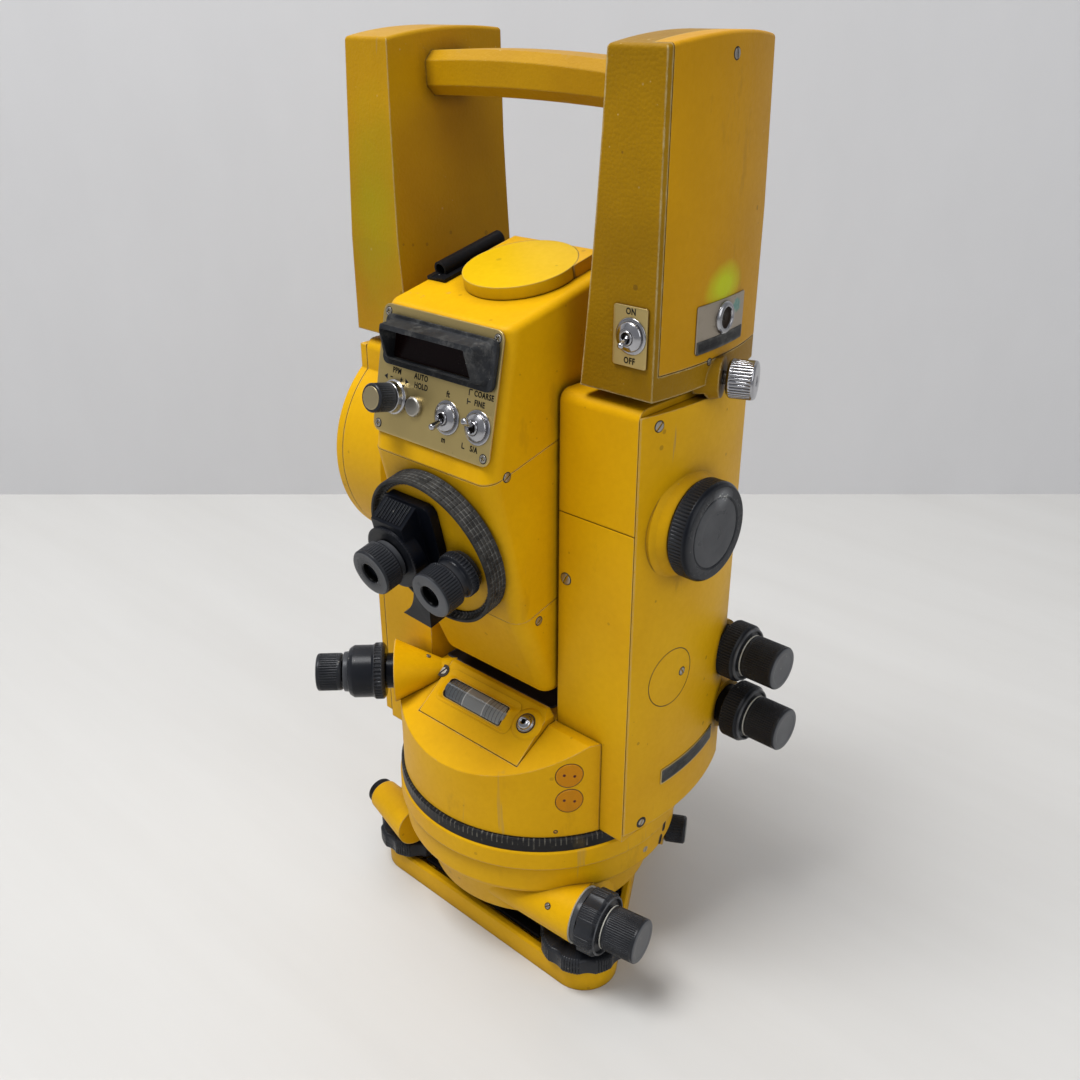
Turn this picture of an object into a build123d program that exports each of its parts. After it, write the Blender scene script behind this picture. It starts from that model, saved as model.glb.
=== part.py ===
from build123d import *

import os
from math import cos, radians, sin

# Surveying total station. Millimetres. The origin lies on the vertical axis at the underside of
# the base plate, +Z is up, +X points to the operator's right and the operator stands on the -Y side.

# ---- driving dimensions -------------------------------------------------------------------------
GAP = 0.3                 # space between faces of pieces that are not one body
FIT = 0.05                # radial clearance of every turning fit

FOOT_CIRCLE_R = 63.2      # foot screws stand on this radius
FOOT_AZIMUTHS = (-30.0, -150.0, 90.0)
FOOT_KNOB_R = 19.7
SPINDLE_R = 3.0
SPINDLE_TOP = 27.6        # the first screw ends under the lower clamp, and the others match it
PLATE_CORNER_R = 15.5
PLATE_TOP = 11.5
TRIPOD_THREAD_R = 7.1     # mean radius of the 5/8 in x 11 tripod thread

BODY_BOTTOM = 24.0        # fixed lower body
BODY_TOP = 61.0
BODY_R_TOP = 64.5
BODY_R_BOTTOM = 53.0
BUSH_R = 30.2
COLLAR_TOP = 70.7
COLLAR_R = 66.6
RING_TOP = 77.0           # graduated ring
RING_R = 65.9
DRUM_BOTTOM = RING_TOP + GAP
DRUM_R = 64.5
DRUM_TOP = 122.0
DRUM_SLOPE = 29.0         # degrees, the sloped front of the drum
DRUM_RIM_Z = 104.0        # height of the slope where it leaves the front of the drum
SPINDLE_FLANGE_R = 22.0

VIAL_SLOPE = 38.0         # degrees, slope of the wedge that carries the vial
VIAL_FRONT = -51.2
VIAL_REAR = -27.9

STANDARD_IN = 34.0        # right standard; the left one stands further out and further forward
STANDARD_OUT = 70.5
STANDARD_FRONT = -27.0
LEFT_IN = 39.0
LEFT_OUT = 71.0
LEFT_FRONT = -31.0
LEFT_FACE = 75.0          # outer face of the left cover
CIRCLE_HOUSING_R = 48.0   # round housing of the vertical circle
CIRCLE_FACE = 76.4
STANDARD_REAR = 37.0
REAR_CORNER = 7.0         # the right cover wraps round this cut corner
STANDARD_TOP = 268.0
STANDARD_SEAM_Z = 219.4
COVER_BOTTOM = 80.8
COVER_TOP = 265.5
COVER_BULGE_X = 75.3
COVER_BULGE_Y = 8.0
COVER_END = (66.3, 48.8)

TOWER_BOTTOM = 272.0
TOWER_TOP = 383.5         # at the front; the top is crowned
TOWER_CROWN = 387.0
TOWER_OUT = 75.4
TOWER_IN_TOP = 52.4
TOWER_IN_BOTTOM = 43.6
GRIP_Y0, GRIP_Y1 = -8.5, 14.5
GRIP_Z0, GRIP_Z1 = 362.5, 378.5

JACK = (11.4, 294.8)      # y and z of the charging socket
SWITCH = (66.2, 293.8)    # x and z of the power switch
THUMBSCREW_POS = (70.0, 8.4, 272.9)
THUMBSCREW_AZIMUTH = 22.0

TRUNNION_Z = 218.5
KNOB_Z = 217.6            # big knob on the right
TILT = 13.0               # the eyepiece end hangs down by this angle
BODY_HALF = 32.3          # half width of the telescope body
HOUSING_TOP = 85.5        # heights above the trunnion in the telescope's own frame
UPPER_SEAM = 34.2
LOWER_SEAM = -31.5
HOUSING_BOTTOM = -77.0
FRONT = 56.0              # front face ahead of the trunnion
TOP_FRONT = 33.1
BOTTOM_FRONT = 48.0
TOP_REAR = 29.0
REAR = 46.0
CAP_R = 22.0
CAP_THICK = 5.0
CAP_X = 4.0               # the cap stands off centre to leave room for the sight
CAP_CENTRE = 4.5          # and this far behind the trunnion

LENS_BORE_R = 25.5
RING_FRONT = 66.3         # focusing ring
FOCUS_R = 32.5
RIGHT_EYE = (18.0, -2.0)  # x and height of the eyepiece axes in the telescope's frame
LEFT_EYE = (-9.0, 1.5)
BLOCK_RIGHT = 7.8         # right edge of the prism casing's back plate

PANEL_HALF_W = 31.3
PANEL_HALF_H = 24.3
PANEL_MID = (53.7 + TOP_FRONT) / 2 + 0.1
PANEL_MID_H = 63.0
PANEL_LEAN = 65.2         # degrees from level
PPM_KNOB = (-19.5, -9.3)

TOGGLE_XS = (8.3, 24.0)
TOGGLE_UP = -11.0
BUTTON = (-9.0, -10.8)

CLAMP_RING_R = 13.1       # coaxial clamp ring and tangent knob, three sets alike
LOWER_RING_R = 14.3
TANGENT_R = 9.7
STEM_R = 4.9

PLUMMET_AZIMUTH = -135.0
PLUMMET_Z = 121.6

LOWER_CLAMP_POS = (57.6, -38.3, 37.5)
LOWER_CLAMP_AZIMUTH = 9.7
LUG_FACE = 1.6            # the lug ends this far ahead of the clamp's origin
CIRCLE_KNOB = (36.0, 20.4, 39.4)
PLUNGER_POS = (-68.9, -41.4, 35.3)
REAR_CLAMP_Y = 48.0
VERTICAL_CLAMP = (65.0, REAR_CLAMP_Y, 138.8)
HORIZONTAL_CLAMP = (69.5, REAR_CLAMP_Y, 109.3)


# ---- helpers ------------------------------------------------------------------------------------
def box(x0, x1, y0, y1, z0, z1):
    """Block between two corners."""
    return Pos((x0 + x1) / 2, (y0 + y1) / 2, (z0 + z1) / 2) * Box(x1 - x0, y1 - y0, z1 - z0)


def disc(radius, z0, z1, x=0.0, y=0.0):
    """Upright cylinder from z0 to z1."""
    return Pos(x, y, (z0 + z1) / 2) * Cylinder(radius, z1 - z0)


def turned(profile):
    """Solid of revolution about Z from a list of (radius, height) points."""
    outline = make_face(Polyline([(r, 0, t) for r, t in profile], close=True))
    return revolve(outline, Axis.Z, 360)


def along(origin, direction, shape):
    """Carries a shape made about +Z to an axis through origin."""
    return Plane(origin=origin, z_dir=direction) * shape


def heading(azimuth):
    """Level unit vector; azimuth 0 is +X and 90 is +Y."""
    return (cos(radians(azimuth)), sin(radians(azimuth)), 0)


def prism_yz(points, x0, x1):
    """Profile in (y, z) carried from x0 to x1."""
    face = make_face(Polyline([(x0, y, z) for y, z in points], close=True))
    return extrude(face, amount=x1 - x0, dir=(1, 0, 0))


def prism_xz(points, y0, y1):
    """Profile in (x, z) carried from y0 to y1."""
    face = make_face(Polyline([(x, y0, z) for x, z in points], close=True))
    return extrude(face, amount=y1 - y0, dir=(0, 1, 0))


def mirrored(shape):
    """The same piece on the other side of the YZ plane."""
    return mirror(shape, Plane.YZ)


def fluted(radius, depth, count, t0, t1):
    """Grip flutes to cut from a round knob."""
    tool = Pos(radius, 0, (t0 + t1) / 2) * Cylinder(depth, t1 - t0)
    return [Rot(0, 0, 360 * i / count) * tool for i in range(count)]


def one(shapes):
    """Fuses a list of solids that overlap."""
    total = shapes[0]
    for shape in shapes[1:]:
        total = total + shape
    return total


# ---- base ---------------------------------------------------------------------------------------
def foot_points():
    return [(FOOT_CIRCLE_R * cos(radians(a)), FOOT_CIRCLE_R * sin(radians(a))) for a in FOOT_AZIMUTHS]


def triangle(corner_r, z0, z1):
    """Triangle with round corners about the three foot screws."""
    outline = make_hull([edge for x, y in foot_points() for edge in (Pos(x, y) * Circle(corner_r)).edges()])
    return Pos(0, 0, z0) * extrude(outline, amount=z1 - z0)


def base_plate():
    plate = triangle(PLATE_CORNER_R, 0, PLATE_TOP)
    plate = chamfer(plate.edges().group_by(Axis.Z)[-1], 1.0)
    plate -= triangle(PLATE_CORNER_R - 3.5, 5.0, PLATE_TOP + 1)
    boss = disc(19.0, 4.5, PLATE_TOP)
    sockets = [disc(7.5, 4.5, PLATE_TOP - 1.5, x, y) for x, y in foot_points()]
    plate = one([plate, boss] + sockets)
    plate -= disc(TRIPOD_THREAD_R, -1, PLATE_TOP + 1)
    for x, y in foot_points():
        plate -= disc(SPINDLE_R + FIT, 5.5, PLATE_TOP, x, y)
    return plate


def spring_plate():
    """Sprung black plate that holds the screws down, with the black skirt under the body."""
    sheet = triangle(PLATE_CORNER_R - 4.5, PLATE_TOP, PLATE_TOP + 1.8)
    skirt = turned([(18, PLATE_TOP + 1.5), (38, PLATE_TOP + 1.5), (49, BODY_BOTTOM), (18, BODY_BOTTOM)])
    plate = sheet + skirt
    for x, y in foot_points():
        plate -= disc(FOOT_KNOB_R + 0.6, PLATE_TOP - 1, BODY_BOTTOM + 1, x, y)
    return plate - disc(12, PLATE_TOP - 1, BODY_BOTTOM + 1)


def foot_screw(x, y):
    """Levelling screw: round black knob with groups of grip flutes, and its spindle."""
    knob = turned([
        (0, 12.4), (FOOT_KNOB_R - 2.0, 12.4), (FOOT_KNOB_R, 14.2), (FOOT_KNOB_R, 20.2),
        (FOOT_KNOB_R - 1.4, 21.6), (9.5, 22.8), (7.0, 23.7), (0, 23.7),
    ])
    flute = Pos(FOOT_KNOB_R + 0.35, 0, 17.0) * Cylinder(0.9, 12)
    for group in range(6):
        for step in (-1.5, -0.5, 0.5, 1.5):
            knob -= Rot(0, 0, 60 * group + 14 + 7 * step) * flute
    return Pos(x, y, 0) * (knob + disc(SPINDLE_R, 6.0, SPINDLE_TOP))


def lug_section(radius, half, reach):
    """Section of the clamp lug: a circle run back to a flat web behind it."""
    web = Pos((half - 5.0) / 2 - 1.0, reach) * Rectangle(half + 5.0, 1)
    return make_hull([*Circle(radius).edges(), *web.edges()])


def clamp_lug():
    """Casting that carries the lower clamp; it tapers back into the round body."""
    front = Plane(origin=LOWER_CLAMP_POS, x_dir=(0, 0, -1), z_dir=heading(LOWER_CLAMP_AZIMUTH))
    return loft([
        front.offset(LUG_FACE) * lug_section(13.0, 12.0, 28.0),
        front.offset(-56) * lug_section(7.4, 6.0, 28.0),
    ])


def tribrach_body():
    """Round yellow casting with three hidden arms, the lower clamp lug and the plunger boss."""
    shell = turned([
        (30, BODY_BOTTOM), (BODY_R_BOTTOM, BODY_BOTTOM), (BODY_R_BOTTOM + 6.5, 46.4),
        (BODY_R_TOP - 0.6, 46.6), (BODY_R_TOP, 48.2), (BODY_R_TOP, BODY_TOP), (30, BODY_TOP),
    ])
    arms = [disc(8.0, 25.4, 42.0, x, y) for x, y in foot_points()[1:]]
    ribs = [Rot(0, 0, a) * box(40, FOOT_CIRCLE_R, -7, 7, 28.0, 42.0) for a in FOOT_AZIMUTHS[1:]]
    plunger = along(PLUNGER_POS, heading(170.0), turned([(0, -30), (9.9, -30), (7.6, 0), (0, 0)]))
    pad = along(CIRCLE_KNOB, heading(29.5), disc(8.4, 0, 19.5))
    body = one([shell, clamp_lug(), plunger, pad] + arms + ribs)
    body -= disc(BUSH_R, BODY_BOTTOM - 5, BODY_TOP + 1)
    for x, y in foot_points():
        body -= disc(SPINDLE_R + FIT, 20, SPINDLE_TOP + 0.4, x, y)
    body -= along(LOWER_CLAMP_POS, heading(LOWER_CLAMP_AZIMUTH), disc(STEM_R, -10, 3))
    body -= along(CIRCLE_KNOB, heading(29.5), disc(2.6, 12, 20))
    return body - along(PLUNGER_POS, heading(170.0), disc(3.3, -8, 1))


def axis_bush():
    """Bush in the middle of the body that carries the vertical axis."""
    return turned([
        (12.0, BODY_BOTTOM), (BUSH_R, BODY_BOTTOM), (BUSH_R, 34), (18, 36),
        (18, BODY_TOP - 0.6), (12.0, BODY_TOP - 0.6),
    ])


def clamp_fitting(origin, direction, base, seat):
    """Black fixed base of a clamp and tangent set, with the steel stem that both knobs turn on."""
    sleeve = turned([
        (0, -base), (STEM_R, -base), (STEM_R, seat), (9.2, seat), (9.2, 4.2), (STEM_R, 4.2),
        (STEM_R, 24.0), (0, 24.0),
    ])
    return along(origin, direction, sleeve)


def clamp_ring(origin, direction, radius):
    """Large knurled clamp ring."""
    ring = turned([
        (STEM_R + FIT, 4.6), (radius - 1.2, 4.6), (radius, 6.0), (radius, 12.6),
        (radius - 1.8, 14.6), (STEM_R + FIT, 14.6),
    ])
    for flute in fluted(radius + 0.25, 0.8, 24, 4.0, 15.0):
        ring -= flute
    return along(origin, direction, ring)


def tangent_knob(origin, direction):
    """Slow motion knob on the end of the stem."""
    knob = turned([
        (STEM_R + FIT, 15.2), (TANGENT_R - 0.8, 15.2), (TANGENT_R, 16.0), (TANGENT_R, 30.4),
        (TANGENT_R - 0.8, 31.2), (0, 31.2), (0, 24.4), (STEM_R + FIT, 24.4),
    ])
    for flute in fluted(TANGENT_R + 0.25, 0.7, 20, 17.0, 29.0):
        knob -= flute
    return along(origin, direction, knob)


def lower_fittings():
    """Fixed stem of the lower clamp and the black end of the spring plunger, two solids."""
    stem = clamp_fitting(LOWER_CLAMP_POS, heading(LOWER_CLAMP_AZIMUTH), 9.5, LUG_FACE + 0.02)
    cap = turned([(0, -7.8), (3.3, -7.8), (3.3, 0.1), (6.6, 0.1), (6.6, 4.2), (5.6, 5.2), (0, 5.2)])
    cap = along(PLUNGER_POS, heading(170.0), cap)
    return Compound([*stem.solids(), *cap.solids()])


def circle_drive_knob():
    """Small black knob low on the right that turns the circle."""
    knob = turned([
        (0, 12.2), (2.55, 12.2), (2.55, 20.0), (5.8, 20.0), (6.6, 20.8), (6.6, 29.0), (5.8, 29.8),
        (0, 29.8),
    ])
    return along(CIRCLE_KNOB, heading(29.5), knob)


def lower_collar():
    """Yellow collar under the graduated ring, with the sleeve that turns in the bush."""
    collar = turned([
        (24.0, BODY_TOP + GAP), (COLLAR_R, BODY_TOP + GAP), (COLLAR_R, COLLAR_TOP - 1.0),
        (COLLAR_R - 1.0, COLLAR_TOP), (10.0, COLLAR_TOP), (10.0, 30.0), (12.0 - FIT, 30.0),
        (12.0 - FIT, 62.5), (24.0, 62.5),
    ])
    return collar


def circle_ring():
    """Ring with the outer divisions, fixed to the collar."""
    return turned([
        (56.0, COLLAR_TOP), (RING_R, COLLAR_TOP), (RING_R, RING_TOP - 0.8),
        (RING_R - 0.8, RING_TOP), (56.0, RING_TOP),
    ])


def horizontal_circle():
    """Glass circle lying on the collar."""
    return disc(44.0, COLLAR_TOP, COLLAR_TOP + 2.5) - disc(12.0, 70, 76)


# ---- alidade ------------------------------------------------------------------------------------
def alidade_spindle():
    """Vertical steel axis, hollow for the plummet's line of sight."""
    return turned([
        (4.0, 32.0), (10.0 - FIT, 32.0), (10.0 - FIT, 71.5), (11.5, 71.5), (11.5, 84.0),
        (SPINDLE_FLANGE_R, 84.0), (SPINDLE_FLANGE_R, 88.0), (4.0, 88.0),
    ])


def slope_z(y):
    """Height of the drum's sloped front at a given y."""
    return DRUM_RIM_Z + (y + DRUM_R) * sin(radians(DRUM_SLOPE)) / cos(radians(DRUM_SLOPE))


def drum_half_space():
    """Everything above the sloped front."""
    y_flat = DRUM_R * -1 + (DRUM_TOP - DRUM_RIM_Z) / (sin(radians(DRUM_SLOPE)) / cos(radians(DRUM_SLOPE)))
    return prism_yz([(-90, slope_z(-90)), (y_flat, DRUM_TOP), (90, DRUM_TOP), (90, 200), (-90, 200)], -90, 90)


def alidade_drum():
    """Round casting that carries both standards; its front is cut by the sloping face."""
    drum = disc(DRUM_R, DRUM_BOTTOM, DRUM_TOP + 4)
    drum -= drum_half_space()
    drum -= disc(52.0, DRUM_BOTTOM - 1, 84.5)
    drum -= disc(SPINDLE_FLANGE_R, 84, 88.0)
    drum -= disc(6.0, 87, DRUM_TOP + 5)
    drum -= box(STANDARD_IN - GAP, 90, STANDARD_FRONT - GAP, 80, DRUM_BOTTOM - 1, DRUM_TOP + 5)
    drum -= box(-90, -LEFT_IN + GAP, LEFT_FRONT - GAP, 80, DRUM_BOTTOM - 1, DRUM_TOP + 5)
    return drum - vial_cut() - plummet_cut() - vial_bore(5.6)


def vial_cut():
    return prism_yz([
        (-51.5, slope_z(-51.5)), (-50.5, slope_z(-51.5) - 3.0), (-27.6, slope_z(-27.6) - 3.0),
        (-27.6, slope_z(-27.6) + 10), (-51.5, slope_z(-51.5) + 10),
    ], -27.0, 33.4)


def vial_bore(radius):
    """Round space for the vial, across the wedge."""
    return Plane(origin=(-4.0, -38.5, slope_z(VIAL_FRONT) + 8.7), z_dir=(1, 0, 0)) * Cylinder(radius, 36.0)


def vial_housing():
    """Wedge on the drum's slope that carries the plate vial; its right end is bevelled."""
    steep = sin(radians(VIAL_SLOPE)) / cos(radians(VIAL_SLOPE))
    front, rear = VIAL_FRONT, VIAL_REAR
    top = slope_z(front) + (rear - front) * steep
    wedge = prism_yz([
        (front, slope_z(front)), (front + 0.9, slope_z(front) - 2.6),
        (rear, slope_z(rear) - 2.6), (rear, top - 2.2), (rear - 2.2, top - 2.2),
    ], -26.7, 33.1)
    bevel = prism_xz([
        (28.5, 140), (28.5, top), (33.2, slope_z(rear)), (33.2, 100), (60, 100), (60, 140),
    ], -60, -20)
    return wedge - bevel - vial_bore(5.3)


def vial_tube():
    """Glass vial of the plate level."""
    return Plane(origin=(-4.0, -38.5, slope_z(VIAL_FRONT) + 8.7), z_dir=(1, 0, 0)) * Cylinder(5.0, 35.4)


def plummet_axis():
    return heading(PLUMMET_AZIMUTH)


def plummet_shape(grow):
    return turned([(0, 38), (5.0 + grow, 38), (5.0 + grow, 45), (14.2 + grow, 66.0 + grow), (0, 66.0 + grow)])


def plummet_cut():
    return along((0, 0, PLUMMET_Z), plummet_axis(), plummet_shape(0.25))


def plummet_housing():
    """Yellow cone at the front left that carries the plummet eyepiece."""
    cone = along((0, 0, PLUMMET_Z), plummet_axis(), plummet_shape(0))
    cone -= along((0, 0, PLUMMET_Z), plummet_axis(), disc(STEM_R, 52, 70))
    guard = box(-90, -LEFT_IN + 2 * GAP, LEFT_FRONT - 2 * GAP, 60, 60, 300)
    return cone - vial_cut() - guard


def plummet_tube():
    """Fixed black neck and stem of the plummet."""
    tube = turned([
        (0, 54), (STEM_R, 54), (STEM_R, 66.0), (8.0, 66.0), (8.0, 69.8), (STEM_R, 69.8),
        (STEM_R, 97.0), (0, 97.0),
    ])
    return along((0, 0, PLUMMET_Z), plummet_axis(), tube)


def plummet_focus_ring():
    """Knurled ring and smooth barrel that turn together."""
    ring = turned([
        (STEM_R + FIT, 70.2), (11.6, 70.2), (12.8, 71.4), (12.8, 77.2), (12.4, 78.2), (12.4, 88.4),
        (11.6, 89.2), (STEM_R + FIT, 89.2),
    ])
    for flute in fluted(13.0, 0.7, 30, 70.0, 77.6):
        ring -= flute
    return along((0, 0, PLUMMET_Z), plummet_axis(), ring)


def plummet_eyepiece():
    """Small eyepiece of the plummet."""
    eye = turned([
        (STEM_R + FIT, 90.0), (7.9, 90.0), (8.5, 90.8), (8.5, 100.6), (7.8, 101.4), (3.6, 101.4),
        (2.4, 98.0), (STEM_R + FIT, 97.4),
    ])
    for flute in fluted(8.75, 0.6, 22, 91.4, 100.0):
        eye -= flute
    return along((0, 0, PLUMMET_Z), plummet_axis(), eye)


def upright(x_in, x_out, front):
    """Box-section standard, open on its outer side under the cover; right-hand one."""
    z0 = DRUM_BOTTOM
    outer = box(x_in, x_out, front, STANDARD_REAR, z0, STANDARD_TOP)
    outer = fillet(outer.edges().filter_by(Axis.X).group_by(Axis.Z)[-1], 4.5)
    outer -= box(x_in + 4, x_out + 1, front + 4, STANDARD_REAR - 4, z0 + 8, STANDARD_TOP - 6)
    outer -= along((x_in - 1, 0, TRUNNION_Z), (1, 0, 0), disc(10.0, 0, 20))
    return outer - box(x_in - 1, x_out + 1, front - 1, front + 0.5, STANDARD_SEAM_Z, STANDARD_SEAM_Z + 0.4)


def rear_corner(x, y):
    """Wedge outside the cut rear corner of the right standard, whose uncut corner is at (x, y)."""
    c = REAR_CORNER
    corners = [(x - c, y), (x - c, y + 60), (x + 60, y + 60), (x + 60, y - c), (x, y - c)]
    face = make_face(Polyline([(a, b, 60) for a, b in corners], close=True))
    return extrude(face, amount=220, dir=(0, 0, 1))


def standard_right():
    return upright(STANDARD_IN, STANDARD_OUT, STANDARD_FRONT) - rear_corner(STANDARD_OUT, STANDARD_REAR)


def standard_left():
    """Left standard, with the part of the circle housing that swells out in front and behind."""
    left = mirrored(upright(LEFT_IN, LEFT_OUT, LEFT_FRONT))
    swell = along((-44.0, 0, TRUNNION_Z), (-1, 0, 0), turned([
        (44.0, 2.0), (45.5, 0.0), (CIRCLE_HOUSING_R, 2.5), (CIRCLE_HOUSING_R, LEFT_OUT - 44.0),
        (44.0, LEFT_OUT - 44.0),
    ]))
    swell -= box(-90, 0, LEFT_FRONT + 2, STANDARD_REAR - 2, 100, 300)
    inside = along((-48.0, 0, TRUNNION_Z), (-1, 0, 0), disc(44.0, 0, 40))
    return left - (inside & box(-90, 0, -60, 60, 170, STANDARD_TOP - 6)) + swell


def cover_plan(z0, z1):
    """Right cover in plan: flat inside, bulged outside and wrapped round the rear corner."""
    x_in = STANDARD_OUT + GAP
    start = (x_in + 0.4, STANDARD_FRONT, z0)
    arc = ThreePointArc(start, (COVER_BULGE_X, COVER_BULGE_Y, z0), (*COVER_END, z0))
    back = Polyline([
        (*COVER_END, z0), (52.0, COVER_END[1], z0), (52.0, STANDARD_REAR + GAP, z0),
        (x_in - REAR_CORNER, STANDARD_REAR + GAP, z0), (x_in, STANDARD_REAR + GAP - REAR_CORNER, z0),
        (x_in, STANDARD_FRONT, z0), start,
    ])
    return extrude(make_face([arc, back]), amount=z1 - z0, dir=(0, 0, 1))


def side_cover_right():
    """Outer cover with the flared seat of the big knob and the seats of both clamps."""
    cover = cover_plan(COVER_BOTTOM, COVER_TOP)
    flare = turned([(0, -0.5), (22.6, -0.5), (22.6, 1.6), (20.6, 3.4), (18.6, 7.0), (0, 7.0)])
    cover += along((72.0, 0, KNOB_Z), (1, 0, 0), flare)
    cover -= along((68, 0, KNOB_Z), (1, 0, 0), disc(6.0, 0, 30))
    inside = box(40, STANDARD_OUT + GAP, 20, STANDARD_REAR + GAP, 90, 160)
    inside -= rear_corner(STANDARD_OUT + GAP, STANDARD_REAR + GAP)
    for x, y, z in (VERTICAL_CLAMP, HORIZONTAL_CLAMP):
        seat = turned([(0, 0), (12.4, 0), (11.4, x - 54), (0, x - 54)])
        cover += along((54, y, z), (1, 0, 0), seat) - inside
    for x, y, z in (VERTICAL_CLAMP, HORIZONTAL_CLAMP):
        cover -= along((x, y, z), (1, 0, 0), disc(9.5, 0, 30))
        cover -= along((x + 4.3, y, z), (1, 0, 0), disc(CLAMP_RING_R + 0.35, 0, 30))
        cover -= along((x - 10, y, z), (1, 0, 0), disc(STEM_R, 0, 12))
    return cover


def side_cover_left():
    """Flat left cover with the round lid of the vertical circle."""
    cover = box(-LEFT_FACE, -LEFT_OUT - GAP, LEFT_FRONT, STANDARD_REAR, COVER_BOTTOM, COVER_TOP)
    lid = turned([
        (0, 0), (CIRCLE_HOUSING_R, 0), (CIRCLE_HOUSING_R, 4.0), (45.0, CIRCLE_FACE - LEFT_OUT - GAP),
        (0, CIRCLE_FACE - LEFT_OUT - GAP),
    ])
    return cover + along((-LEFT_OUT - GAP, 0, TRUNNION_Z), (-1, 0, 0), lid)


def trunnion_bearings():
    """Two bronze bushes that carry the trunnion axles."""
    bush = disc(10.0, -0.2, 9.0) - disc(6.0, -1, 13)
    right = along((STANDARD_IN, 0, TRUNNION_Z), (1, 0, 0), bush)
    left = along((-LEFT_IN, 0, TRUNNION_Z), (-1, 0, 0), bush)
    return Compound([*right.solids(), *left.solids()])


def micrometer_knob():
    """Large knob on the right, just under the trunnion's end."""
    knob = turned([
        (0, 8.3), (17.6, 8.3), (19.6, 9.6), (19.6, 15.4), (18.4, 16.9), (15.6, 16.9), (15.3, 16.5),
        (15.0, 16.9), (0, 16.9),
    ])
    for flute in fluted(19.9, 0.8, 48, 9.0, 15.6):
        knob -= flute
    return along((71.0, 0, KNOB_Z), (1, 0, 0), knob + disc(6.0 - FIT, -2.0, 8.5))


def clamp_fittings():
    """Fixed bases of the vertical and horizontal clamps, two solids."""
    upper = clamp_fitting(VERTICAL_CLAMP, (1, 0, 0), 9.0, 0.02)
    lower = clamp_fitting(HORIZONTAL_CLAMP, (1, 0, 0), 9.0, 0.02)
    return Compound([*upper.solids(), *lower.solids()])


# ---- handle and battery -------------------------------------------------------------------------
def tower_side(front_foot, rear_foot):
    """Side view of a tower: crowned top, slanted rear and, on the left one, a slanted front."""
    top = ThreePointArc((0, STANDARD_FRONT, TOWER_TOP), (0, 8.0, TOWER_CROWN), (0, 38.5, TOWER_CROWN - 1.5))
    rest = Polyline([
        (0, 38.5, TOWER_CROWN - 1.5), (0, rear_foot, 320.0), (0, rear_foot, TOWER_BOTTOM),
        (0, front_foot, TOWER_BOTTOM), (0, front_foot, 310.0), (0, STANDARD_FRONT, TOWER_TOP),
    ])
    return extrude(make_face([top, rest]), amount=100, dir=(1, 0, 0))


def tower_blank(front_foot):
    """Right-hand tower: flared inner side, bulged outer side, crowned top."""
    head_z = TOWER_CROWN + 1
    foot, head = (TOWER_IN_BOTTOM, -60, TOWER_BOTTOM), (TOWER_IN_TOP, -60, head_z)
    inner = ThreePointArc(foot, (48.3, -60, 323.0), head)
    rest = Polyline([head, (90, -60, head_z), (90, -60, TOWER_BOTTOM), foot])
    face = extrude(make_face([inner, rest]), amount=120, dir=(0, 1, 0))
    z0 = TOWER_BOTTOM
    arc = ThreePointArc((TOWER_OUT, front_foot, z0), (77.4, 2.0, z0), (70.1, 43.8, z0))
    back = Polyline([
        (70.1, 43.8, z0), (50.0, 32.0, z0), (30.0, 29.0, z0), (30.0, front_foot, z0),
        (TOWER_OUT, front_foot, z0),
    ])
    plan = extrude(make_face([arc, back]), amount=130, dir=(0, 0, 1))
    tower = face & plan & tower_side(front_foot, 44.5)
    top = [edge for edge in tower.edges() if edge.center().Z > TOWER_TOP - 1]
    return fillet(top, 1.5)


def tower_hollow():
    """Space inside a tower, open below."""
    return prism_xz([
        (TOWER_IN_BOTTOM + 6.5, TOWER_BOTTOM - 1), (TOWER_IN_TOP + 3.0, TOWER_TOP - 6), (72.5, TOWER_TOP - 6),
        (72.5, TOWER_BOTTOM - 1),
    ], STANDARD_FRONT + 3.0, 28.0)


def handle_foot(x0, x1):
    """Low pad that carries a tower on top of its standard."""
    return box(x0, x1, -14, 20, STANDARD_TOP + 0.05, TOWER_BOTTOM + 1.5)


def grip():
    """Bar between the towers, slightly arched, bevelled below."""
    left, right = -54.0, TOWER_IN_TOP - 1.8
    y = GRIP_Y0
    top = ThreePointArc((left, y, GRIP_Z1), (0, y, GRIP_Z1 + 0.8), (right, y, GRIP_Z1 - 2.5))
    under = ThreePointArc((right, y, GRIP_Z0 - 1.0), (0, y, GRIP_Z0 + 1.0), (left, y, GRIP_Z0))
    ends = [Line(top @ 1, under @ 0), Line(under @ 1, top @ 0)]
    bar = extrude(make_face([top, under] + ends), amount=GRIP_Y1 - GRIP_Y0, dir=(0, 1, 0))
    curved = bar.edges().filter_by(GeomType.CIRCLE).group_by(Axis.Z)
    return chamfer(curved[0] + curved[1], 3.6)


def carry_handle():
    """Left tower and the grip, one casting."""
    tower = mirrored(tower_blank(LEFT_FRONT) - tower_hollow())
    return one([tower, grip(), mirrored(handle_foot(50, 66))])


def cover_window(z0, z1, grow):
    """Outer wall of the battery cover between the seams."""
    return box(68.0, 90, -24.2 - grow, 60, z0 - grow, z1)


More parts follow.
